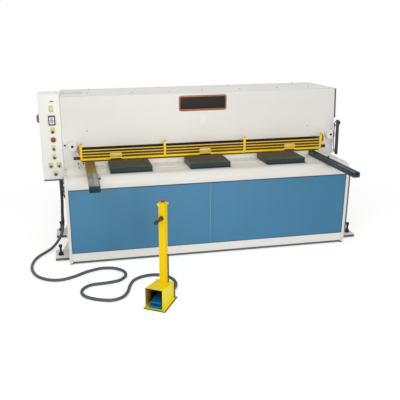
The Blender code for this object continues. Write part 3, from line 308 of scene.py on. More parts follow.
def material(name, color, roughness=0.42, metallic=0.0, vary=0.1, grime=0.0, dirt=(0.25, 0.23, 0.2),
        bump=0.05, grain=700.0, stretch=(1, 1, 1), coat=0.0, cloud=2.5, patches=0.08, specular=0.5,
        shade_or_stain=None):
    """A finish in the model's own coordinates: colour clouds, smudged gloss, grime and a fine skin.

    A shade_or_stain is a colour that grows along one axis between two places: (axis, start, end, amount,
    colour); most of those below are painted light or shade, as their comments say.
    """
    made = bpy.data.materials.new(name)
    made.use_nodes = True
    made.diffuse_color = (*color, 1)
    tree = made.node_tree
    shader = tree.nodes["Principled BSDF"]
    shader.inputs["Metallic"].default_value = metallic
    shader.inputs["Coat Weight"].default_value = coat
    shader.inputs["Coat Roughness"].default_value = 0.15
    shader.inputs["Specular IOR Level"].default_value = specular
    place = node(tree, "TexCoord").outputs["Object"]
    stretched = node(tree, "Mapping", {"Vector": place, "Scale": stretch}).outputs["Vector"]

    def noise(scale, detail, source=place, rough=0.55):
        return node(tree, "TexNoise",
            {"Vector": source, "Scale": scale, "Detail": detail, "Roughness": rough}).outputs["Fac"]

    def ramp(source, low, high, to_low, to_high):
        return node(tree, "MapRange", {"Value": source, "From Min": low, "From Max": high, "To Min": to_low,
            "To Max": to_high}).outputs["Result"]

    def mix(factor, one, two):
        one, two = (c if isinstance(c, bpy.types.NodeSocket) else (*c, 1) for c in (one, two))
        return node(tree, "Mix", {0: factor, 6: one, 7: two}, data_type="RGBA").outputs[2]

    darker = tuple(c * (1 - vary) for c in color)
    lighter = tuple(min(1.0, c * (1 + vary)) for c in color)
    tone = mix(ramp(noise(cloud, 4), 0.35, 0.65, 0, 1), darker, lighter)
    if grime:
        tone = mix(ramp(noise(9.0, 8, rough=0.7), 0.58, 0.78, 0, grime), tone, dirt)
    # shade_or_stain: a colour along one axis, mostly painted light or shade
    if shade_or_stain:
        axis, start, end, amount, tint = shade_or_stain
        height = node(tree, "SeparateXYZ", {"Vector": place}).outputs[axis]
        shift = ORIGIN["XYZ".index(axis)]
        tone = mix(ramp(height, start - shift, end - shift, 0, amount), tone, tint)
    tree.links.new(tone, shader.inputs["Base Color"])
    gloss = ramp(noise(14.0, 6, rough=0.65), 0.3, 0.7, roughness - patches, roughness + patches)
    tree.links.new(gloss, shader.inputs["Roughness"])
    skin = node(tree, "Bump", {"Strength": bump, "Distance": 0.001, "Height": noise(grain, 3, stretched)})
    tree.links.new(skin.outputs["Normal"], shader.inputs["Normal"])
    MATERIALS[name] = made


ENAMEL = {"roughness": 0.42, "vary": 0.012, "grime": 0.05, "grain": 420, "coat": 0.15}
YELLOW = {"vary": 0.02, "grime": 0.08, "dirt": (0.66, 0.42, 0.0)}
IVORY = (0.79, 0.775, 0.725)

material("ivory_enamel", IVORY, **ENAMEL)
# Lighter towards the rear of the table: painted light that offsets the shade under the housing and guard.
material("bed_enamel", IVORY, shade_or_stain=("Y", 0.1, 0.22, 1.0, (0.96, 0.95, 0.9)), **ENAMEL)
# Lighter towards the bottom of the housing front: painted light that offsets the shade above the guard and
# table.
material("house_enamel", IVORY, shade_or_stain=("Z", 1.42, 1.12, 1.0, (0.875, 0.86, 0.805)), **ENAMEL)
# A lighter copy of the ivory: painted light on the bottom and rear rails.
material("rail_lit_enamel", (0.86, 0.845, 0.79), **ENAMEL)
material("box_enamel", (0.89, 0.88, 0.83), 0.4, vary=0.01, grime=0.04, grain=420, coat=0.15)
# The blue darkens towards the right end.
material("blue_enamel", (0.04, 0.2, 0.355), 0.4, vary=0.05, grime=0.06, dirt=(0.1, 0.24, 0.36), grain=380,
    coat=0.2, cloud=1.6, shade_or_stain=("X", 1.5, 2.6, 1.0, (0.024, 0.172, 0.315)))
# A lighter copy of the yellow: painted light on the foot switch's hood.
material("hood_lit_yellow", (1.0, 0.79, 0.0), 0.46, bump=0.04, specular=0.25, **YELLOW)
material("post_yellow", (0.93, 0.635, 0.0), 0.5, bump=0.04, specular=0.1, **YELLOW)
material("yellow_enamel", (0.98, 0.66, 0.0), 0.46, grain=500, specular=0.25, **YELLOW)
material("slate_finish", (0.02, 0.04, 0.047), 0.36, metallic=0.1, grime=0.1, dirt=(0.06, 0.08, 0.09),
    grain=260, coat=0.1, patches=0.05, specular=0.35)
# Golden brown towards the rear of the pads: painted reflection of the yellow guard, in its shade.
material("pad_finish", (0.024, 0.045, 0.051), 0.36, grime=0.1, dirt=(0.05, 0.07, 0.08), grain=260,
    patches=0.05, specular=0.22, shade_or_stain=("Y", 0.18, 0.42, 1.0, (0.125, 0.08, 0.006)))
material("beam_slate", (0.022, 0.043, 0.05), 0.34, grime=0.1, dirt=(0.05, 0.07, 0.08), grain=260,
    patches=0.05, specular=0.3)
# Darker golden than the guard's frame: painted shade on the round bars.
material("guard_bar_shade_yellow", (0.78, 0.53, 0.055), 0.34, vary=0.05, grime=0.25, dirt=(0.24, 0.12, 0.02), grain=500,
    coat=0.3)
# Dark, brown-cast steel: painted shade on the blades and gauge bar under the guard and housing.
material("tool_steel", (0.13, 0.085, 0.02), 0.36, metallic=0.6, grime=0.15, dirt=(0.07, 0.045, 0.01),
    bump=0.1, grain=300, stretch=(0.06, 1.0, 1.0))
# Golden brown on its lower part: painted reflection of the yellow guard in the shade behind it.
material("dark_steel", (0.02, 0.009, 0.0005), 0.5, vary=0.15, grime=0.2, dirt=(0.05, 0.025, 0.0), bump=0.08,
    grain=260, specular=0.15, shade_or_stain=("Z", 1.045, 0.955, 1.0, (0.21, 0.105, 0.0)))
# Golden brown: painted reflection of the yellow guard on the arm, darker towards the rear as painted shade.
material("arm_reflection_shade", (0.24, 0.15, 0.022), bump=0.08, stretch=(1.0, 30.0, 1.0), patches=0.05, specular=0.15,
    shade_or_stain=("Y", 0.25, 0.45, 0.7, (0.17, 0.1, 0.008)))
material("arm_steel", (0.22, 0.23, 0.225), 0.22, metallic=0.7, vary=0.05, grime=0.1, dirt=(0.22, 0.22, 0.21),
    bump=0.1, grain=300, stretch=(1.0, 0.06, 1.0), patches=0.05)
material("stop_slate", (0.008, 0.04, 0.06), 0.46, specular=0.16)
material("band_steel", (0.33, 0.35, 0.34), 0.38, metallic=0.3, vary=0.05, bump=0.04, patches=0.03)
material("scale_grey", (0.33, 0.34, 0.33), 0.45, vary=0.04, bump=0.03, specular=0.3)
material("zinc", (0.52, 0.51, 0.48), 0.34, metallic=1.0, vary=0.08, grime=0.15, dirt=(0.28, 0.26, 0.22))
material("black_oxide", (0.022, 0.022, 0.024), 0.4, metallic=0.5, vary=0.12, grime=0.15,
    dirt=(0.07, 0.065, 0.06), bump=0.06)
material("black_moulding", (0.018, 0.018, 0.02), 0.48, grime=0.1, dirt=(0.06, 0.06, 0.06), bump=0.1,
    grain=1400)
material("hose_grey", (0.078, 0.084, 0.092), 0.5, vary=0.08, grime=0.15, dirt=(0.16, 0.15, 0.14), bump=0.08,
    grain=900)
material("conduit_black", (0.02, 0.027, 0.033), 0.45, grime=0.12, dirt=(0.08, 0.08, 0.08), bump=0.08,
    grain=900)
material("signal_red", (0.27, 0.02, 0.01), 0.36, vary=0.05, bump=0.03, grain=900, coat=0.2)
material("switch_red", (0.24, 0.075, 0.03), 0.36, vary=0.06, bump=0.04, grain=900, coat=0.2)
material("treadle_blue", (0.002, 0.17, 0.37), 0.45, vary=0.08, grime=0.18, dirt=(0.02, 0.08, 0.12), bump=0.12,
    grain=320, specular=0.2)
material("lens_white", (0.86, 0.87, 0.84), 0.16, vary=0.01, bump=0.0, coat=0.8, patches=0.02)
material("plate_yellow", (0.66, 0.63, 0.19), 0.38, vary=0.02, bump=0.02, coat=0.2)
material("plate_pale", (0.84, 0.85, 0.83), 0.36, vary=0.02, bump=0.02, coat=0.2)
material("badge_dark", (0.014, 0.011, 0.01), 0.55, vary=0.06, bump=0.02, specular=0.25)
material("badge_bronze", (0.34, 0.13, 0.055), 0.4, metallic=0.3, vary=0.05, bump=0.03)
material("seam_shadow", (0.16, 0.155, 0.145), 0.6, bump=0.02)
material("plate_orange", (0.5, 0.24, 0.045), 0.38, vary=0.03, bump=0.02, coat=0.2)
material("knob_grey", (0.3, 0.31, 0.32), 0.4, vary=0.05, bump=0.03)
material("lid_grey", (0.66, 0.66, 0.66), 0.45, vary=0.03, bump=0.03)
material("mat_shade_brown", (0.13, 0.105, 0.06), 0.6, vary=0.12, bump=0.1, specular=0.3)
material("hood_shade_brown", (0.42, 0.24, 0.025), 0.7, vary=0.15, bump=0.1, specular=0.2,
    shade_or_stain=("Y", -0.99, -0.89, 1.0, (0.016, 0.016, 0.008)))
material("rim_shade_brown", (0.085, 0.055, 0.01), 0.6)
material("bar_grey", (0.04, 0.043, 0.042), grime=0.1, dirt=(0.08, 0.08, 0.08), specular=0.3)
material("wire_grey", (0.03, 0.03, 0.032), 0.5)
# Dark grey for the strips of painted shade along edges and under the machine, and for the posts' foot pads.
material("edge_grey", (0.105, 0.105, 0.1), 0.5)
material("joint_blue", (0.135, 0.315, 0.45), 0.5, vary=0.05, bump=0.02)
material("gap_teal", (0.018, 0.05, 0.07), 0.6, bump=0.02)
material("grip_brown", (0.07, 0.042, 0.008), vary=0.08, bump=0.03, specular=0.3)
material("seat_shade", (0.52, 0.42, 0.12), 0.45, vary=0.08, specular=0.3)
material("bracket_shade_brown", (0.27, 0.17, 0.04), 0.45, vary=0.08)
material("knob_brown", (0.16, 0.06, 0.025), 0.38, vary=0.08, bump=0.03, coat=0.3)


def dress(look, *names, edge=0.0):
    """Gives CAD nodes a finish, and their edges the small round that paint and tooling leave."""
    for name in names:
        solid = NODES[name]
        if solid.type == "MESH":
            solid.data.materials.clear()
            solid.data.materials.append(MATERIALS[look])
        if edge:
            weld = solid.modifiers.new("weld", "WELD")
            weld.merge_threshold = 0.00002
            flat = solid.modifiers.new("flat", "DECIMATE")
            flat.decimate_type = "DISSOLVE"
            flat.angle_limit = math.radians(1)
            rim = solid.modifiers.new("rim", "BEVEL")
            rim.width = edge
            rim.segments = 2
            rim.limit_method = "ANGLE"
            rim.angle_limit = math.radians(40)
            rim.harden_normals = True


dress("bed_enamel", "bed", edge=0.003)
dress("rail_lit_enamel", "bottom_rail", "rear_rail", edge=0.0015)
dress("ivory_enamel", "boss_left", "boss_right", "rear_chute")
dress("blue_enamel", "front_panel_left", "front_panel_right")
dress("post_yellow", "pedal_column", edge=0.0015)
dress("hood_lit_yellow", "pedal_hood", edge=0.0015)
dress("pad_finish", "support_pad_left", "support_pad_middle", "support_pad_right", edge=0.0015)
dress("slate_finish", "ram_beam", edge=0.0012)
dress("beam_slate", "support_arm", edge=0.0012)
dress("dark_steel", "holddown_beam", edge=0.001)
dress("tool_steel", "lower_blade", "upper_blade", edge=0.0008)
dress("black_oxide", "levelling_jack_left_front", "levelling_jack_left_rear", "levelling_jack_right_front",
    "levelling_jack_right_rear")
dress("black_moulding", "start_button", "light_selector", "mode_selector", "gauge_selector", "timer",
    "cord_gland", "conduit_coupling")
dress("knob_brown", "jog_button_left", "jog_button_right")
dress("signal_red", "panel_stop_button", "pedal_stop_button")
dress("treadle_blue", "switch_base", "treadle", edge=0.0012)
dress("lens_white", "lamp")


# The pedestal's own frame, and the gland's end in it: the plate's edge, the hood, the gland, a gap at each
PEDAL = Matrix.Translation((0.7065, -0.9216, 0)) @ Matrix.Rotation(math.radians(-32.35), 4, "Z")
GLAND_END = -0.135 + 0.004 + 0.254 + 0.0003 + 0.03 + 0.0003
CORD_PATH = list(CORD_ROUTE)
CORD_PATH += [tuple(PEDAL @ Vector((0.035, GLAND_END + run, 0.034))) for run in (0.062, 0)]
FRONT, REAR = Vector((0, -1, 0)), Vector((0, 1, 0))
UP, LEFT, RIGHT = Vector((0, 0, 1)), Vector((-1, 0, 0)), Vector((1, 0, 0))


def make_cord():
    """A flexible conduit with fine ribs, from the coupling over the floor to the foot switch."""
    fine = smooth_path(CORD_PATH, RIB / 4)
    cord = piece("pedal_hose", lambda shape: hose(shape, fine, ribbed(CORD_R, 0.0006, RIB), 14), "hose_grey",
        "cord_grey", smooth=60)
    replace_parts(cord, "pedal_cord")
    [at(*p) for p in smooth_path(CORD_PATH, 0.058)]


make_cord()


def plate(shape, x, z, width, height, front, thickness=0.0012, corner=0.004):
    """A thin plate with round corners that faces the operator, its back at the plane given."""
    prism(shape, round_box(x, z, width, height, corner), front - thickness, front, "Y", edge=thickness * 0.4)


# Control box
BOX_LEFT, BOX_RIGHT, BOX_REAR, BOX_LOW, BOX_HIGH = -0.2353, -0.0303, 0.69, 0.75, 1.6
BOX_FACE = 0.4298
CONTROL_X = -0.1143
LAMP_Z, TIMER_Z, START_Z, STOP_Z = 1.45, 1.348, 1.234, 1.156
LIGHT_Z, MODE_Z, JOG_Z, GAUGE_Z = 1.063, 0.976, 0.89, 0.806
JOG_SPREAD = 0.0405
JOG_X = (CONTROL_X - JOG_SPREAD, CONTROL_X + JOG_SPREAD)


def box_body(shape):
    """The cabinet with a door leaf that stands a little proud of it."""
    block(shape, (BOX_LEFT, 0.438, BOX_LOW), (BOX_RIGHT, BOX_REAR, BOX_HIGH), 0.004, 3)
    block(shape, (BOX_LEFT + 0.0015, BOX_FACE, BOX_LOW + 0.006),
        (BOX_RIGHT - 0.0015, 0.4372, BOX_HIGH - 0.006), 0.0032, 3)


def box_seal(shape):
    block(shape, (BOX_LEFT + 0.004, 0.436, BOX_LOW + 0.008), (BOX_RIGHT - 0.004, 0.439, BOX_HIGH - 0.008))


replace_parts(piece("cabinet", box_body, "box_enamel", "ivory_paint"), "control_box")
piece("cabinet_seal", box_seal, "seam_shadow", "black_plastic")


def holed_plate(shape, x, z, width, height, front, hole_z, hole, thickness=0.0012):
    """A plate with a round hole, for a push button that slides through it."""
    corners = [Vector(corner) for corner in round_box(x, z, width, height, 0.004)]
    middle = Vector((x, hole_z))
    rim = []
    for one, two in zip(corners, corners[1:] + corners[:1]):
        count = max(1, round((two - one).length / 0.004))
        rim += [one.lerp(two, k / count) for k in range(count)]
    inner = [middle + (p - middle).normalized() * hole for p in rim]
    rear = front - thickness
    loops = [[shape.verts.new((p.x, y, p.y)) for p in points]
        for points, y in ((rim, front), (rim, rear), (inner, rear), (inner, front))]
    for one, two in zip(loops, loops[1:] + loops[:1]):
        for k in range(len(rim)):
            j = (k + 1) % len(rim)
            shape.faces.new((one[k], one[j], two[j], two[k]))


BUTTON_HOLE = 0.016


@drawn("plate_yellow", "yellow_paint")
def legend_plates(shape):
    for z, width, height in ((LAMP_Z, 0.046, 0.066), (LIGHT_Z, 0.042, 0.054), (MODE_Z, 0.042, 0.056),
            (GAUGE_Z, 0.044, 0.056)):
        plate(shape, CONTROL_X, z + 0.01, width, height, BOX_FACE)
    holed_plate(shape, CONTROL_X, START_Z + 0.014, 0.044, 0.06, BOX_FACE, START_Z, BUTTON_HOLE)
    for x in JOG_X:
        holed_plate(shape, x, JOG_Z + 0.01, 0.046, 0.056, BOX_FACE, JOG_Z, BUTTON_HOLE)


piece("stop_plate", lambda shape: lathe(shape, (CONTROL_X, BOX_FACE, STOP_Z), FRONT, [(BUTTON_HOLE, 0),
    (0.028, 0), (0.028, 0.001), (0.027, 0.0016), (BUTTON_HOLE, 0.0016), (BUTTON_HOLE, 0)], 40),
    "plate_orange", "yellow_paint")
piece("name_strip", lambda shape: plate(shape, -0.1035, 1.531, 0.062, 0.024, BOX_FACE), "plate_pale",
    "lamp_white")
piece("name_strip_window", lambda shape: plate(shape, -0.1035, 1.53, 0.034, 0.008, BOX_FACE - 0.0012, 0.0008,
    0.002), "badge_dark", "black_plastic")


@drawn("zinc", "steel")
def control_bezels(shape):
    for z in (LAMP_Z, LIGHT_Z, MODE_Z, GAUGE_Z):
        lathe(shape, (CONTROL_X, BOX_FACE, z), FRONT,
            [(0.0128, 0.0012), (0.0128, 0.0045), (0.0145, 0.0052), (0.0175, 0.0045), (0.018, 0.0012)], 32)
    for x, z in ((CONTROL_X, START_Z), (CONTROL_X, STOP_Z), (JOG_X[0], JOG_Z), (JOG_X[1], JOG_Z)):
        lathe(shape, (x, BOX_FACE, z), FRONT,
            [(0.0148, 0.0012), (0.0148, 0.006), (0.0158, 0.0068), (0.0176, 0.0058), (0.018, 0.0012)], 32)


def pointer(z):
    return lambda shape: block(shape, (CONTROL_X - 0.0009, BOX_FACE - 0.0228, z + 0.001),
        (CONTROL_X + 0.0009, BOX_FACE - 0.0218, z + 0.0108), 0.0003)


for knob, z in (("light", LIGHT_Z), ("mode", MODE_Z), ("gauge", GAUGE_Z)):
    piece(knob + "_pointer", pointer(z), "lens_white", "lamp_white", knob + "_knob")

TIMER_FACE = 0.412
DIAL = Vector((CONTROL_X, TIMER_FACE - 0.0014, TIMER_Z - 0.004))


def timer_dial(shape):
    plate(shape, CONTROL_X, TIMER_Z, 0.046, 0.07, TIMER_FACE, 0.0014, 0.005)


def timer_marks(shape):
    lathe(shape, DIAL, FRONT, [(0.0155, 0), (0.0155, 0.0012), (0.0185, 0.0012), (0.0185, 0)], 36)
    for k in range(11):
        turn = Matrix.Translation(DIAL) @ Matrix.Rotation(math.radians(-135 + 27 * k), 4, "Y")
        block(shape, (-0.0005, -0.0006, 0.012), (0.0005, 0, 0.0148), turn=turn)
    block(shape, (CONTROL_X - 0.012, TIMER_FACE - 0.002, TIMER_Z + 0.022),
        (CONTROL_X + 0.012, TIMER_FACE - 0.0014, TIMER_Z + 0.029), 0.0002)


def timer_knob(shape):
    lathe(shape, DIAL, FRONT, [(0, 0), (0.0095, 0), (0.009, 0.005), (0.008, 0.0062), (0, 0.0062)], 28)


piece("timer_dial", timer_dial, "plate_pale", "lamp_white")
piece("timer_marks", timer_marks, "badge_dark", "black_plastic")
piece("timer_knob", timer_knob, "knob_grey", "slate_metal")


def switch_handle(shape):
    """The domed handle of the main switch, with a bar to hold across it."""
    place = (-0.2356, 0.56, 1.3501)
    lathe(shape, place, LEFT, [(0, 0), (0.051, 0), (0.051, 0.003), (0.048, 0.01), (0.04, 0.017),
        (0.027, 0.023), (0.013, 0.0255), (0, 0.026)], 40)
    block(shape, (-0.2654, 0.552, 1.3501 - 0.034), (-0.25, 0.568, 1.3501 + 0.034), 0.003)


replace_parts(piece("switch_handle", switch_handle, "switch_red", "red_plastic", "main_knob"), "main_switch")


# A dark plate under the cabinet: painted shade along its lower edge.
@drawn("edge_grey", "black_plastic")
def box_underside_shade(shape):
    block(shape, (BOX_LEFT + 0.001, 0.432, 0.739), (BOX_RIGHT - 0.001, BOX_REAR - 0.002, 0.7498), 0.001)


@drawn("zinc", "steel")
def box_hardware(shape):
    for z in (0.86, 1.5):
        lathe(shape, (-0.2358, 0.64, z - 0.03), UP,
            [(0, 0), (0.0055, 0), (0.006, 0.002), (0.006, 0.058), (0.0055, 0.06), (0, 0.06)], 16)
        block(shape, (-0.2385, 0.618, z - 0.026), (-0.2352, 0.64, z + 0.026), 0.0008)
    for z in (0.95, 1.42):
        lathe(shape, (-0.2352, 0.462, z), LEFT, [(0, 0), (0.012, 0), (0.012, 0.003), (0.0105, 0.0045),
            (0.006, 0.0045), (0.006, 0.002), (0, 0.002)], 24)
    for x in (-0.215, -0.075):
        for z in (0.8, 1.55):
            pan_screw(shape, (x, 0.6902, z), REAR, 0.005)


# Conduits
THICKNESS = 0.03
FITTING_TOP = 0.7412


def main_conduit(shape):
    path = smooth_path([(-0.0735, 0.5, 0.7405), (-0.073, 0.5, 0.62), (-0.074, 0.5, 0.5), (-0.079, 0.5, 0.4),
        (-0.082, 0.5, 0.331)], RIB / 4)
    hose(shape, path, ribbed(0.0158, 0.0006, RIB), 16)


def short_conduit(shape):
    path = smooth_path([(-0.051, 0.47, 0.7405), (-0.0505, 0.47, 0.69), (-0.049, 0.47, 0.63),
        (-0.045, 0.47, 0.58), (-0.038, 0.47, 0.55), (-0.029, 0.47, 0.536)], RIB / 4)
    hose(shape, path, ribbed(0.0138, 0.0005, 0.008), 16)


def conduit_fittings(shape):
    for x, y, radius in ((-0.0735, 0.5, 0.019), (-0.051, 0.47, 0.0165)):
        lathe(shape, (x, y, FITTING_TOP), -UP,
            [(0, 0), (radius, 0), (radius, 0.006), (radius - 0.001, 0.008), (radius - 0.0025, 0.008),
            (radius - 0.0025, 0.02), (radius - 0.004, 0.026), (radius - 0.006, 0.03)], 6)
    lathe(shape, (-THICKNESS - 0.0002, 0.47, 0.536), LEFT,
        [(0, 0), (0.018, 0), (0.018, 0.003), (0.014, 0.006)], 6)


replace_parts(piece("main_conduit", main_conduit, "conduit_black", "black_plastic", smooth=60), "conduit")
piece("short_conduit", short_conduit, "conduit_black", "black_plastic", smooth=60)
piece("conduit_fittings", conduit_fittings, "conduit_black", "black_plastic")


@drawn("black_moulding", "black_plastic")
def strain_boots(shape):
    """The tapered boots where the cord leaves the coupling and enters the foot switch."""
    lathe(shape, (-0.082, 0.5, 0.2805), -UP, [(0.0155, 0), (0.0186, 0.001), (0.0186, 0.006), (0.0172, 0.016),
        (0.016, 0.03), (0.015, 0.04), (0.0146, 0.04)], 28)
    end = PEDAL @ Vector((0.035, GLAND_END - 0.0005, 0.034))
    lathe(shape, end, PEDAL.to_3x3() @ REAR, [(0.0155, 0), (0.0188, 0.001), (0.0186, 0.006), (0.0172, 0.018),
        (0.016, 0.032), (0.015, 0.042), (0.0146, 0.042)], 28)


# Frame, feet and front
PLATE_TOP = 0.041
LENGTH = 2.8
LEFT_FACE, RIGHT_FACE = -THICKNESS, LENGTH + THICKNESS
TABLE = 0.86
HOUSE_LOW, HOUSE_TOP = 1.0607, 1.5647
CHEEK_FRONT, CHEEK_REAR = 0.4552, 0.5197
FOOT_X, FOOT_Y = (-0.113, 2.963), (0.175, 0.87)


def frame_plate(mirror):
    """One side of the machine: the thick plate with its arch, cheek, foot plates and ribs."""
    def across(low, high):
        return (LENGTH - high, LENGTH - low) if mirror else (low, high)

    def build(shape):
        outline = [(0, 0.012), (0.35, 0.012), (0.38, 0.1), (0.67, 0.1), (0.7, 0.012), (1.095, 0.012),
            (1.095, HOUSE_TOP), (0.4603, HOUSE_TOP), (0.4603, HOUSE_LOW), (0.455, HOUSE_LOW), (0.455, TABLE)]
        outline += arc(0.07, 0.79, 0.07, 90, 180, 10)
        prism(shape, outline, *across(-THICKNESS, -0.0003), "X", edge=0.0018)
        low, high = across(-0.057 if mirror else -THICKNESS, 0.1 if mirror else 0.148)
        block(shape, (low, CHEEK_FRONT, TABLE + 0.0003), (high, CHEEK_REAR, HOUSE_LOW), 0.0012)
        low, high = across(-0.215 if mirror else -0.165, -THICKNESS - 0.0001)
        for y in (0.11, 0.735):
            block(shape, (low, y, 0.016), (high, y + 0.2, PLATE_TOP), 0.002)
        rib = [(-0.091, PLATE_TOP), (-THICKNESS, PLATE_TOP), (-THICKNESS, 0.141), (-0.04, 0.141),
            (-0.091, 0.055)]
        for y in (0.26, 0.785):
            prism(shape, [(LENGTH - x if mirror else x, z) for x, z in rib], y - 0.005, y + 0.005, "Y",
                edge=0.001)
    return build


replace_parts(piece("left_frame", frame_plate(False), "ivory_enamel", "ivory_paint"), "left_side_frame")
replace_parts(piece("right_frame", frame_plate(True), "ivory_enamel", "ivory_paint"), "right_side_frame")


def right_edge_shade(shape):
    """Painted shade along the right side of the post and of the housing: dark strips on those edges."""
    prism(shape, round_box(2.8402, 0.0115, 0.019, 0.018, 0.005), 0.118, 0.785, "Z", edge=0.001)
    edging = [(2.8466, 1.255), (2.865, 1.255), (2.8495, 1.564), (2.8312, 1.564)]
    prism(shape, edging, CHEEK_FRONT, 0.4732, "Y", edge=0.001)


def panel_gaps(shape):
    """The shadowed gap all round the blue panels."""
    for x_low, x_high in ((-0.0002, 0.0055), (2.7945, 2.8002)):
        block(shape, (x_low, -0.0009, 0.1125), (x_high, 0.0003, 0.751))
    for z_low, z_high in ((0.1125, 0.1185), (0.7435, 0.7512)):
        block(shape, (0.001, -0.0008, z_low), (2.799, 0.0003, z_high))


piece("right_edge_shade", right_edge_shade, "edge_grey", "black_plastic")
piece("panel_gaps", panel_gaps, "gap_teal", "black_plastic")
piece("panel_filler", lambda shape: block(shape, (1.3971, 0.0003, 0.1135), (1.4029, 0.0058, 0.75)),
    "blue_enamel", "blue_paint")
piece("panel_joint", lambda shape: block(shape, (1.3714, -0.0009, 0.1135), (1.3762, -0.0001, 0.7495)),
    "joint_blue", "blue_paint")


# Dark strips under the rails and on the foot plates' lower front edges: painted shade under the machine.
@drawn("edge_grey", "black_plastic")
def underside_shade_strips(shape):
    for y_low, y_high in ((0.0035, 0.0375), (1.057, 1.093)):
        block(shape, (0.001, y_low, 0.007), (2.799, y_high, 0.0279), 0.001)
    for x_low, x_high in ((-0.1645, LEFT_FACE), (RIGHT_FACE, 3.0145)):
        for y in (0.1105, 0.7355):
            block(shape, (x_low, y, 0.006), (x_high, y + 0.028, 0.0158), 0.001)
            block(shape, (x_low, y - 0.0016, 0.017), (x_high, y - 0.0007, 0.033), 0.0003)


@drawn("edge_grey", "black_plastic")
def post_pads(shape):
    for x in (-0.008, 2.808):
        lathe(shape, (x, 0.018, 0), UP, [(0, 0), (0.017, 0), (0.018, 0.003), (0.013, 0.006), (0.008, 0.007),
            (0.008, 0.0119), (0, 0.0119)], 24)


@drawn("black_oxide", "black_plastic")
def jack_parts(shape):
    """Hexagon nuts, threads and square heads on the levelling bolts."""
    for x in FOOT_X:
        for y in FOOT_Y:
            lathe(shape, (x, y, 0.0552), UP, [(0.0105, 0), (0.0225, 0), (0.023, 0.001), (0.023, 0.013),
                (0.0205, 0.015), (0.0105, 0.015)], 6)
            thread = [(0.0104 + 0.0008 * (k % 2), 0.0015 * k) for k in range(40)]
            lathe(shape, (x, y, 0.07), UP, thread, 20)
            lathe(shape, (x, y, 0.1482), UP, [(0.0, 0), (0.015, 0), (0.014, 0.0016), (0, 0.0016)], 28)
            lathe(shape, (x, y, 0.1245), UP, [(0.0105, 0), (0.0165, 0), (0.018, 0.0015), (0.018, 0.0225),
                (0.0165, 0.024), (0.0105, 0.024)], 6)


@drawn("zinc", "steel")
def frame_bolts(shape):
    for x in (-0.016, 2.816):
        for y in (0.135, 0.36):
            cap_screw(shape, (x, y, TABLE), UP, 0.008, 0.005)
    for x, side in ((LEFT_FACE, LEFT), (RIGHT_FACE, RIGHT)):
        for y, z in ((0.1, 0.78), (0.24, 0.78), (0.38, 0.78), (0.1, 0.7), (0.24, 0.7), (0.38, 0.7),
                (1.04, 0.3), (1.04, 0.12), (0.03, 0.16), (0.03, 0.3)):
            hex_bolt(shape, (x, y, z), side, 0.024, 0.01, 0.017)


@drawn("blue_enamel", "blue_paint")
def front_panel_screws(shape):
    for x in (0.035, 0.702, 1.362, 1.438, 2.098, 2.765):
        for z in (0.725, 0.15):
            pan_screw(shape, (x, -0.0002, z), FRONT, 0.0055)


# Housing
HOUSE_FACE, HOUSE_REAR = 0.4548, 1.1
LID_LOW, LID_TOP = 1.565, 1.57
HOUSE_LEAN = 0.0495


def housing_front(shape):
    prism(shape, [(LEFT_FACE, HOUSE_LOW + 0.0003), (2.856, HOUSE_LOW + 0.0003), (2.8464, 1.255),
        (2.831, HOUSE_TOP), (LEFT_FACE, HOUSE_TOP)], 0.455, 0.46, "Y", edge=0.0018)
    prism(shape, [(RIGHT_FACE + 0.0002, HOUSE_LOW + 0.0003), (2.8555, HOUSE_LOW + 0.0003),
        (2.846, 1.255), (2.8306, HOUSE_TOP), (RIGHT_FACE + 0.0002, HOUSE_TOP)], 0.4602, 1.095, "Y",
        edge=0.0012)


def housing_top(shape):
    """The lid: a sheet with round edges that reaches a little past the sides."""
    block(shape, (LEFT_FACE - 0.001, 0.4545, LID_LOW), (RIGHT_FACE + 0.003, 1.0998, LID_TOP), 0.0022, 3)


def housing_rear(shape):
    block(shape, (LEFT_FACE, 1.0953, 1.0205), (RIGHT_FACE, HOUSE_REAR, HOUSE_TOP), 0.0018, 3)
    for x in (0.9, 1.88):
        block(shape, (x, 1.0995, 1.03), (x + 0.02, 1.1008, 1.556), 0.0006)


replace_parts(piece("housing_front", housing_front, "house_enamel", "ivory_paint"), "upper_front_panel")
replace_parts(piece("housing_top", housing_top, "ivory_enamel", "ivory_paint"), "top_cover")
piece("lid_plate", lambda shape: block(shape, (-0.022, 0.655, 1.5698), (0.198, 0.86, 1.5716), 0.0006),
    "lid_grey", "ivory_paint")
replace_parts(piece("housing_rear", housing_rear, "ivory_enamel", "ivory_paint"), "rear_panel")


@drawn("zinc", "steel")
def cover_bolts(shape):
    front_row = [(x, 0.615) for x in (0.698, 1.085, 1.43, 1.84, 2.25, 2.6)]
    rear_row = [(x, 1.04) for x in (0.281, 1.039, 1.84, 2.6)]
    for x, y in [(0.249, 0.72)] + front_row + rear_row:
        hex_bolt(shape, (x, y, LID_TOP + 0.0002), UP, 0.014, 0.006, 0.01)
    for x, z in ((0.22, 1.225), (2.55, 1.18)):
        pan_screw(shape, (x, HOUSE_FACE, z), FRONT, 0.0075, 0.004)


@drawn("black_oxide", "black_plastic")
def dark_screws(shape):
    cap_screw(shape, (-0.008, HOUSE_FACE, 1.089), FRONT, 0.009, 0.007)
    for x, z in ((0.117, 0.896), (0.166, 0.894)):
        cap_screw(shape, (x, HOUSE_FACE if x < 0.148 else 0.4578, z), FRONT, 0.0075, 0.006)
    for x, y in ((0.119, 0.418), (0.3, 0.418)):
        cap_screw(shape, (x, y, 0.86), UP, 0.0075, 0.006)
    for x in (0.065, 2.799):
        lathe(shape, (x, 0.4147, 1.0835), FRONT,
            [(0, 0.004), (0.006, 0.004), (0.007, 0.009), (0.012, 0.009), (0.0136, 0.007), (0.0138, 0)], 24)


def badge_rim(shape):
    plate(shape, 1.4, 1.462, 0.5, 0.158, HOUSE_FACE, 0.0016, 0.022)


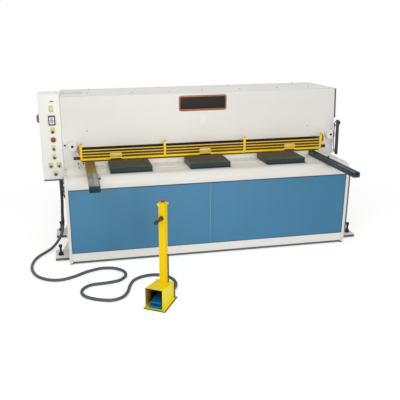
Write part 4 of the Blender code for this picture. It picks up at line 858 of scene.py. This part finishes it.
def badge_field(shape):
    plate(shape, 1.4, 1.464, 0.47, 0.122, HOUSE_FACE - 0.0016, 0.001, 0.01)


piece("badge_rim", badge_rim, "badge_bronze", "slate_metal")
piece("badge_field", badge_field, "badge_dark", "black_plastic")
piece("bare_plate", lambda shape: plate(shape, 1.408, 1.285, 0.062, 0.1, HOUSE_FACE, 0.001, 0.006),
    "plate_pale", "lamp_white")


# Guard
GUARD_Y = 0.34
GUARD_LEFT, GUARD_RIGHT = 0.136, 2.664
GUARD_LOW, GUARD_HIGH = 0.951, 1.112
GUARD_POSTS = [0.146 + 0.836 * k for k in range(4)]
GUARD_TABS = [1.4 - 0.912, 1.4, 1.4 + 0.912]


def guard_frame(shape):
    """The guard's posts with their caps, and the lower rail with a raised plate at each tab."""
    front, rear = GUARD_Y - 0.004, GUARD_Y + 0.004
    for x in GUARD_POSTS:
        block(shape, (x - 0.011, front - 0.0006, GUARD_LOW - 0.001), (x + 0.011, rear, GUARD_HIGH - 0.002),
            0.0014)
        block(shape, (x - 0.018, GUARD_Y - 0.011, GUARD_HIGH - 0.005),
            (x + 0.018, GUARD_Y + 0.011, GUARD_HIGH + 0.001), 0.0012)
    points = [(GUARD_LEFT, GUARD_LOW)]
    for x in GUARD_TABS:
        step = ((-0.058, 0), (-0.056, 0.011), (0.056, 0.011), (0.058, 0))
        points += [(x + u, GUARD_LOW + v) for u, v in step]
    points += [(x, GUARD_LOW + z) for x, z in ((GUARD_RIGHT, 0), (GUARD_RIGHT, 0.02), (GUARD_LEFT, 0.02))]
    prism(shape, points, front + 0.001, rear - 0.001, "Y", edge=0.0008)


def guard_bars(shape):
    for k in range(3):
        z = GUARD_LOW + 0.0445 + 0.0288 * k
        lathe(shape, (0.1352, GUARD_Y, z), RIGHT,
            [(0, 0), (0.0046, 0), (0.0054, 0.0008), (0.0054, 2.5288), (0.0046, 2.5296), (0, 2.5296)], 14)
    for x in GUARD_TABS:
        tab = [(x + u, GUARD_LOW + v) for u, v in ((-0.06, 0.0195), (0.06, 0.0195), (0.06, 0.052),
            (0.054, 0.066), (-0.054, 0.066), (-0.06, 0.052))]
        prism(shape, tab, GUARD_Y - 0.0042, GUARD_Y - 0.0012, "Y", edge=0.0006)


@drawn("bracket_shade_brown", "yellow_paint")
def guard_brackets(shape):
    """The plates beside the end posts that carry the guard on the front of the housing; their brown is painted
    shade on the yellow.
    """
    for low, high, bottom in ((0.112, 0.1346, 1.0), (2.6654, 2.692, 1.006)):
        outer, inner = (low, high) if low < 1 else (high, low)
        prism(shape, [(inner, bottom), (outer, bottom + 0.03), (outer, 1.085), ((outer + inner) / 2, 1.103),
            (inner, 1.106)], GUARD_Y + 0.003, GUARD_Y + 0.009, "Y", edge=0.001)


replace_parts(piece("guard_frame", guard_frame, "yellow_enamel", "yellow_paint"), "guard")
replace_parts(piece("guard_bars", guard_bars, "guard_bar_shade_yellow", "yellow_paint"), "guard")


@drawn("black_oxide", "black_plastic")
def guard_arms(shape):
    for x in GUARD_POSTS:
        end = 0.4547 if x < 0.2 else 0.4597
        block(shape, (x - 0.0105, GUARD_Y + 0.0042, 1.0528), (x + 0.0105, end, 1.0606), 0.001)
    for x_low, x_high, radius in ((0.07, 0.1352, 0.0155), (2.6648, 2.707, 0.0165)):
        length = x_high - x_low
        lathe(shape, (x_low, GUARD_Y, 0.978), RIGHT, [(0, 0), (radius - 0.002, 0), (radius, 0.002),
            (radius, length - 0.002), (radius - 0.002, length), (0, length)], 20)


@drawn("knob_brown", "yellow_paint")
def guard_bolts(shape):
    for x in GUARD_POSTS:
        hex_bolt(shape, (x, GUARD_Y, GUARD_HIGH + 0.001), UP, 0.013, 0.006)
        pan_screw(shape, (x, GUARD_Y - 0.0041, GUARD_LOW + 0.01), FRONT, 0.0045)
    for x in GUARD_TABS:
        for side in (-1, 1):
            pan_screw(shape, (x + side * 0.04, GUARD_Y - 0.0031, GUARD_LOW + 0.03), FRONT, 0.0045)


# Table
@drawn("bed_enamel", "ivory_paint")
def table_strips(shape):
    for x_low, x_high in ((0.286, 0.405), (0.83, 1.196), (1.621, 1.987), (2.412, 2.577)):
        block(shape, (x_low, 0.277, TABLE), (x_high, 0.4575, TABLE + 0.0015), 0.0006)
        block(shape, (x_low, 0.4, TABLE + 0.001), (x_high, 0.4575, TABLE + 0.0034), 0.0006)


PAD_SPANS = ((0.411, 0.824), (1.202, 1.615), (1.993, 2.406))
SEAT_FRONT, SEAT_REAR, SEAT_TOP = 0.4582, 0.4797, 0.9068


@drawn("pad_finish", "slate_metal")
def pad_plates(shape):
    """Behind each pad a strip up to the blade, and under its front a thin dark seat that is painted shade at
    the pad's foot.
    """
    for low, high in PAD_SPANS:
        block(shape, (low + 0.002, SEAT_FRONT, SEAT_TOP), (high - 0.002, SEAT_REAR, 0.9096), 0.0006)
        seat = round_box((low + high) / 2, 0.134, high - low + 0.006, 0.036, 0.014)
        prism(shape, seat, TABLE + 0.0002, TABLE + 0.003, "Z", edge=0.0008)


@drawn("tool_steel", "steel")
def gauge_bar(shape):
    """The stop bar behind the blades, between the side frames, on two plain lugs."""
    block(shape, (0.0004, 0.74, 0.832), (LENGTH - 0.0004, 0.764, 0.896), 0.002)
    for x in (0.0004, LENGTH - 0.0604):
        block(shape, (x, 0.7642, 0.84), (x + 0.06, 0.79, 0.888), 0.002)
    for k in range(6):
        cap_screw(shape, (0.25 + 0.46 * k, 0.74, 0.864), FRONT, 0.007, 0.005)


@drawn("seat_shade", "ivory_paint")
def seat_shade_strips(shape):
    """Strips on the blade seat between the pads, golden brown as painted shade under the guard."""
    for low, high in ((0.155, 0.405), (0.83, 1.196), (1.621, 1.987), (2.412, 2.69)):
        block(shape, (low, SEAT_FRONT, SEAT_TOP), (high, SEAT_REAR, 0.9076), 0.0003)


@drawn("zinc", "steel")
def table_screws(shape):
    for x in (0.34, 0.9, 1.02, 1.135, 1.69, 1.81, 1.925, 2.46, 2.53):
        cap_screw(shape, (x, 0.432, TABLE + 0.0034), UP, 0.0062, 0.005)


@drawn("black_oxide", "black_plastic")
def blade_screws(shape):
    for k in range(9):
        x = 0.29 + k * 0.2775
        lathe(shape, (x, 0.5002, 0.844), REAR,
            [(0, 0.004), (0.005, 0.004), (0.0058, 0.008), (0.0085, 0.008), (0.0095, 0.006), (0.0095, 0)], 20)


# Squaring arm and support arm
def squaring_section(right):
    """The section of the squaring arm: a bar with a groove for the stop and a step for the scale."""
    low, high, left = TABLE + 0.0004, 0.91, 0.184
    groove = [(right, low), (right, low + 0.014), (right - 0.006, low + 0.014), (right - 0.006, low + 0.024),
        (right, low + 0.024)]
    step = [(right - u, high - v) for u, v in ((0, 0), (0.01, 0), (0.01, 0.002), (0.018, 0.002), (0.018, 0))]
    return [(left, low)] + groove + step + [(left, high)]


def arm_part(right, start, end):
    return lambda shape: prism(shape, squaring_section(right), start, end, "Y", edge=0.0012)


def arm_band(shape):
    """The bright ground band beside the scale."""
    block(shape, (0.236, -0.443, 0.9096), (0.264, -0.006, 0.9103), 0.0002)


def arm_scale(shape):
    block(shape, (0.265, -0.443, 0.908), (0.272, -0.0054, 0.909), 0.0002)
    block(shape, (0.2585, -0.0048, 0.908), (0.2655, 0.2, 0.909), 0.0002)


def arm_ticks(shape):
    for k in range(63):
        y = -0.43 + 0.01 * k
        reach = 0.006 if k % 10 == 0 else (0.0048 if k % 5 == 0 else 0.003)
        edge = 0.272 if y < -0.005 else 0.2655
        block(shape, (edge - reach, y - 0.0005, 0.909), (edge, y + 0.0005, 0.9094))


def arm_block(shape):
    prism(shape, round_box(0.232, 0.8855, 0.098, 0.05, 0.007), -0.4875, -0.4445, "Y", edge=0.003)
    for x in (0.205, 0.255):
        cap_screw(shape, (x, -0.4875, 0.886), FRONT, 0.008, 0.006)
    lathe(shape, (0.2827, -0.11, 0.882), RIGHT, [(0, 0), (0.006, 0), (0.006, 0.006), (0.0105, 0.008),
        (0.0115, 0.012), (0.0105, 0.019), (0.006, 0.021), (0, 0.021)], 24)
    block(shape, (0.2767, -0.126, 0.875), (0.2855, -0.094, 0.89), 0.001)


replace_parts(piece("squaring_rule", arm_part(0.2825, -0.444, -0.0052), "arm_steel", "steel"), "squaring_arm")
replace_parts(piece("squaring_rule_rear", arm_part(0.276, -0.005, 0.4538), "arm_reflection_shade", "steel"), "squaring_arm")
piece("squaring_band", arm_band, "band_steel", "steel")
piece("squaring_scale", arm_scale, "scale_grey", "steel")
piece("squaring_ticks", arm_ticks, "badge_dark", "black_plastic")
piece("squaring_stop", arm_block, "stop_slate", "slate_metal")


@drawn("black_oxide", "black_plastic")
def support_arm_parts(shape):
    lathe(shape, (2.634, 0.091, 0.9101), UP,
        [(0, 0), (0.005, 0), (0.005, 0.005), (0.0095, 0.007), (0.01, 0.013), (0.0085, 0.016), (0, 0.016)], 24)
    for y in (-0.18, 0.2):
        cap_screw(shape, (2.592, y, 0.9101), UP, 0.005, 0.004)
    block(shape, (2.5845, -0.5196, 0.8612), (2.6415, -0.503, 0.883), 0.0015)


# Cover bar on the right
def cover_bar(shape):
    middle, radius, top, bottom, lean = 2.8745, 0.0136, 1.24, 0.861, 0.03
    points = arc(middle, top - radius, radius, 0, 180, 15)
    points += arc(middle, bottom + radius, radius, 180, 360, 15)
    points = [(x - lean * (z - (top + bottom) / 2), z) for x, z in points]
    prism(shape, points, 0.395, 0.415, "Y", edge=0.002)
    lathe(shape, (2.882, 0.405, 1.205), RIGHT, [(0, 0), (0.0105, 0), (0.0105, 0.002), (0.018, 0.0035),
        (0.0195, 0.007), (0.018, 0.0115), (0.013, 0.013), (0, 0.013)], 28)


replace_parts(piece("cover_bar", cover_bar, "bar_grey", "slate_metal"), "throat_cover")


@drawn("ivory_enamel", "ivory_paint")
def cover_lugs(shape):
    for low in (0.884, 1.16):
        block(shape, (RIGHT_FACE + 0.0002, 0.411, low), (2.863, 0.505, low + 0.03), 0.001)


@drawn("wire_grey", "black_plastic")
def side_wire(shape):
    """The thin wire that hangs beside the cover bar, from its top to its foot."""
    path = smooth_path([(2.86, 0.402, 1.23), (2.84, 0.388, 1.229), (2.829, 0.386, 1.215),
        (2.8262, 0.386, 1.18), (2.8258, 0.386, 1.128), (2.8268, 0.386, 1.08), (2.828, 0.386, 1.04),
        (2.8304, 0.386, 0.997), (2.8348, 0.386, 0.954), (2.8435, 0.386, 0.92), (2.86, 0.393, 0.9),
        (2.872, 0.402, 0.896)], 0.006)
    hose(shape, path, lambda run: 0.0046, 10)


# Pedestal
def pedal_piece(name, build, look, slot, body="machine", smooth=32.0):
    """A piece that is drawn in the pedestal's own frame."""
    def placed(shape):
        build(shape)
        bmesh.ops.transform(shape, matrix=PEDAL, verts=shape.verts)
    return piece(name, placed, look, slot, body, smooth)


# A dark mat under the pedestal's base: painted shade along its lower edges.
pedal_piece("pedal_shade_mat", lambda shape: block(shape, (-0.0925, -0.142, 0.0002), (0.101, 0.144, 0.0057), 0.001),
    "mat_shade_brown", "black_plastic")


@drawn("hood_shade_brown", "black_plastic", maker=pedal_piece)
def hood_shade_lining(shape):
    """Painted shade inside the hood: dark sheets on its two walls, the sloping roof and the rear, darkest at
    the rear.
    """
    half, front, rear, foot, thick = 0.0712, -0.129, 0.1175, 0.03, 0.001
    side = [(front, foot), (rear, foot), (rear, 0.144), (front, 0.18)]
    for low, high in ((-half, thick - half), (half - thick, half)):
        prism(shape, side, low, high, "X")
    prism(shape, [(front, 0.18), (rear, 0.144), (rear, 0.145), (front, 0.181)], -half, half, "X")
    block(shape, (-half, rear - thick, foot), (half, rear, 0.144), 0.0002)


@drawn("rim_shade_brown", "black_plastic", maker=pedal_piece)
def hood_shade_edging(shape):
    """Painted shade at the hood's rear seam and at the edging of its mouth: dark strips there."""
    for low, high in ((-0.0845, -0.0759), (0.0759, 0.0845)):
        block(shape, (low, 0.1175, 0.0062), (high, 0.1235, 0.149), 0.0004)
    block(shape, (-0.0758, -0.1325, 0.1835), (0.0758, -0.1312, 0.1868), 0.0004)
    block(shape, (-0.0758, -0.1325, 0.0062), (-0.072, -0.1312, 0.1834), 0.0004)


# The peg starts on the front of the post, whose half width is 27.5 mm
PEG_START = (0, 0.081 - 0.0275 - 0.0004, 0.731)


def handle_stem(shape):
    lathe(shape, PEG_START, FRONT, [(0, 0), (0.018, 0), (0.0195, 0.002), (0.0195, 0.014), (0.017, 0.02),
        (0.0155, 0.03), (0.0135, 0.06), (0.0125, 0.092), (0, 0.092)], 28)


def handle_knob(shape):
    lathe(shape, PEG_START, FRONT, [(0.0115, 0.091), (0.0145, 0.093), (0.0172, 0.098), (0.0178, 0.107),
        (0.017, 0.119), (0.013, 0.127), (0.0065, 0.129), (0, 0.129)], 28)


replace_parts(pedal_piece("handle_stem", handle_stem, "grip_brown", "black_plastic"), "column_handle")
pedal_piece("handle_knob", handle_knob, "black_moulding", "black_plastic")


@drawn("rim_shade_brown", "black_plastic", smooth=60, maker=pedal_piece)
def post_shade_wire(shape):
    """A dark wire up the post's rear corner and in through a grommet; its dark line is painted shade along the
    post's right edge.
    """
    path = smooth_path([(0.033, 0.105, 0.1535), (0.033, 0.105, 0.25), (0.033, 0.105, 0.38),
        (0.031, 0.1035, 0.397), (0.027, 0.1, 0.401)], 0.006)
    hose(shape, path, lambda run: 0.0046, 12)
    lathe(shape, (0.0276, 0.1, 0.401), RIGHT, [(0, 0), (0.0075, 0), (0.0075, 0.002), (0.0055, 0.003)], 16)


@drawn("zinc", "steel", maker=pedal_piece)
def pedal_screws(shape):
    for x, y, axis in ((-0.0352, 0.081, LEFT), (0.0352, 0.081, RIGHT), (0, 0.0458, FRONT), (0, 0.1162, REAR)):
        pan_screw(shape, (x, y, 0.844), axis, 0.004)
    for x in (-0.08, 0.08):
        for y in (-0.115, 0.125):
            hex_bolt(shape, (x, y, 0.0061), UP, 0.01, 0.004)


HINGE_Y, HINGE_Z = -0.083, 0.042


@drawn("treadle_blue", "switch_blue", "pedal", maker=pedal_piece)
def treadle_tread(shape):
    """The ribbed tread on the pedal's plate, lying with the plate's slope."""
    slope = Matrix.Translation((0, HINGE_Y, HINGE_Z)) @ Matrix.Rotation(math.radians(11), 4, "X")
    block(shape, (-0.04, -0.006, 0.0042), (0.04, 0.128, 0.006), 0.0008, turn=slope)
    for k in range(10):
        y = 0.004 + 0.0128 * k
        block(shape, (-0.037, y, 0.0058), (0.037, y + 0.005, 0.0076), 0.0008, turn=slope)


@drawn("zinc", "steel", maker=pedal_piece)
def switch_parts(shape):
    for x, axis in ((-0.053, LEFT), (0.053, RIGHT)):
        hex_bolt(shape, (x, HINGE_Y, HINGE_Z), axis, 0.012, 0.005)
    for y in (0.02, 0.03):
        lathe(shape, (0, y + 0.002, 0.0264), UP, [(0.005 + 0.0012 * (k % 2), 0.0016 * k) for k in range(9)],
            16)


# Rear and sides
@drawn("ivory_enamel", "ivory_paint")
def rear_louvres(shape):
    """Pressed louvres in two groups on the rear panel."""
    for center in (0.62, 2.18):
        for k in range(8):
            z = 1.21 + 0.03 * k
            points = [(1.1001, z), (1.109, z + 0.004), (1.1096, z + 0.006), (1.1001, z + 0.018)]
            prism(shape, points, center - 0.13, center + 0.13, "X", edge=0.001)


@drawn("zinc", "steel")
def rear_screws(shape):
    for k in range(8):
        x = 0.02 + k * 0.394
        for z in (1.045, 1.54):
            pan_screw(shape, (x, HOUSE_REAR + 0.0002, z), REAR, 0.007)
    for z in (1.45, 1.3, 1.15):
        for x in (-0.015, 2.815):
            pan_screw(shape, (x, HOUSE_REAR + 0.0002, z), REAR, 0.007)


def side_cover(shape):
    """Two bolted plates; the upper one lies on the housing's leaning side."""
    lean = Matrix(((1, 0, -HOUSE_LEAN, HOUSE_LEAN * HOUSE_LOW), (0, 1, 0, 0), (0, 0, 1, 0), (0, 0, 0, 1)))
    prism(shape, round_box(0.8, 1.31, 0.34, 0.36, 0.02), 2.8556, 2.8588, "X", edge=0.001, turn=lean)
    prism(shape, round_box(0.77, 0.36, 0.44, 0.3, 0.02), RIGHT_FACE + 0.0002, RIGHT_FACE + 0.0032, "X",
        edge=0.001)


def side_screws(shape):
    for x, y, z, width, height, lean in ((2.8588, 0.8, 1.31, 0.3, 0.32, HOUSE_LEAN),
            (2.8333, 0.77, 0.36, 0.4, 0.26, 0.0)):
        for a in (-0.5, 0, 0.5):
            for b in (-0.5, 0.5):
                up = z + b * height
                pan_screw(shape, (x - lean * (up - HOUSE_LOW), y + a * width, up), RIGHT, 0.007)


piece("side_covers", side_cover, "ivory_enamel", "ivory_paint")
piece("side_screws", side_screws, "zinc", "steel")


# Floor, world and lights
FADE_START, FADE_END = 2.2, 4.0
FLOOR_GLOW = 0.42
WORLD_LIGHT = 0.5


def seen_or_mirrored(tree):
    """One for what the camera, a gloss or a clear surface looks at, nought for light that falls."""
    rays = node(tree, "LightPath").outputs
    seen = rays["Is Camera Ray"]
    for name in ("Is Glossy Ray", "Is Transmission Ray"):
        seen = node(tree, "Math", {0: seen, 1: rays[name]}, operation="MAXIMUM").outputs[0]
    return seen


def make_stage():
    """A white floor that keeps the object's shadow and fades to plain white away from it."""
    bpy.ops.mesh.primitive_plane_add(size=60, location=(0, 0, 0))
    floor = bpy.context.object
    floor.name = "floor"
    look = bpy.data.materials.new("floor")
    look.use_nodes = True
    tree = look.node_tree
    shader = tree.nodes["Principled BSDF"]
    shader.inputs["Base Color"].default_value = (0.9, 0.9, 0.9, 1)
    shader.inputs["Roughness"].default_value = 0.9
    shader.inputs["Specular IOR Level"].default_value = 0.0
    seen = seen_or_mirrored(tree)
    share = node(tree, "Math", {0: seen, 1: FLOOR_GLOW}, operation="MULTIPLY")
    glow = node(tree, "Emission", {"Strength": share.outputs[0]})
    both = node(tree, "AddShader", {0: shader.outputs[0], 1: glow.outputs[0]})
    white = node(tree, "Emission", {"Strength": seen})
    place = node(tree, "TexCoord").outputs["Object"]
    distance = node(tree, "VectorMath", {0: place}, operation="LENGTH").outputs["Value"]
    fade = node(tree, "MapRange", {"Value": distance, "From Min": FADE_START, "From Max": FADE_END},
        interpolation_type="SMOOTHSTEP")
    away = node(tree, "Math", {0: fade.outputs["Result"], 1: seen}, operation="MULTIPLY")
    blend = node(tree, "MixShader", {"Fac": away.outputs[0], 1: both.outputs[0], 2: white.outputs[0]})
    tree.links.new(blend.outputs[0], tree.nodes["Material Output"].inputs["Surface"])
    floor.data.materials.append(look)


# Each lamp: name, place, target, size, power
LAMPS = (
    ("key", (-2.6, -4.2, 4.4), (0, 0.2, 0.9), 3.2, 84),
    ("front", (0.2, -6.2, 1.4), (0, 0.2, 0.8), 3.6, 100),
    ("fill", (3.6, -3.4, 2.2), (0, 0.2, 0.8), 3.0, 8),
    ("top", (0, 0.4, 5.2), (0, 0.4, 0), 3.5, 26),
)


def make_light():
    world = bpy.data.worlds.new("studio")
    bpy.context.scene.world = world
    world.use_nodes = True
    tree = world.node_tree
    back = tree.nodes["Background"]
    back.inputs["Color"].default_value = (1, 1, 1, 1)
    level = node(tree, "MapRange", {"Value": seen_or_mirrored(tree), "To Min": WORLD_LIGHT, "To Max": 1.0})
    tree.links.new(level.outputs["Result"], back.inputs["Strength"])
    for name, place, target, size, power in LAMPS:
        lamp = bpy.data.lights.new(name, "AREA")
        lamp.size = size
        lamp.energy = power
        made = add_object(name, lamp)
        made.location = place
        made.rotation_euler = (Vector(target) - Vector(place)).to_track_quat("-Z", "Y").to_euler()


make_stage()
make_light()
bpy.context.scene.view_settings.view_transform = "Standard"
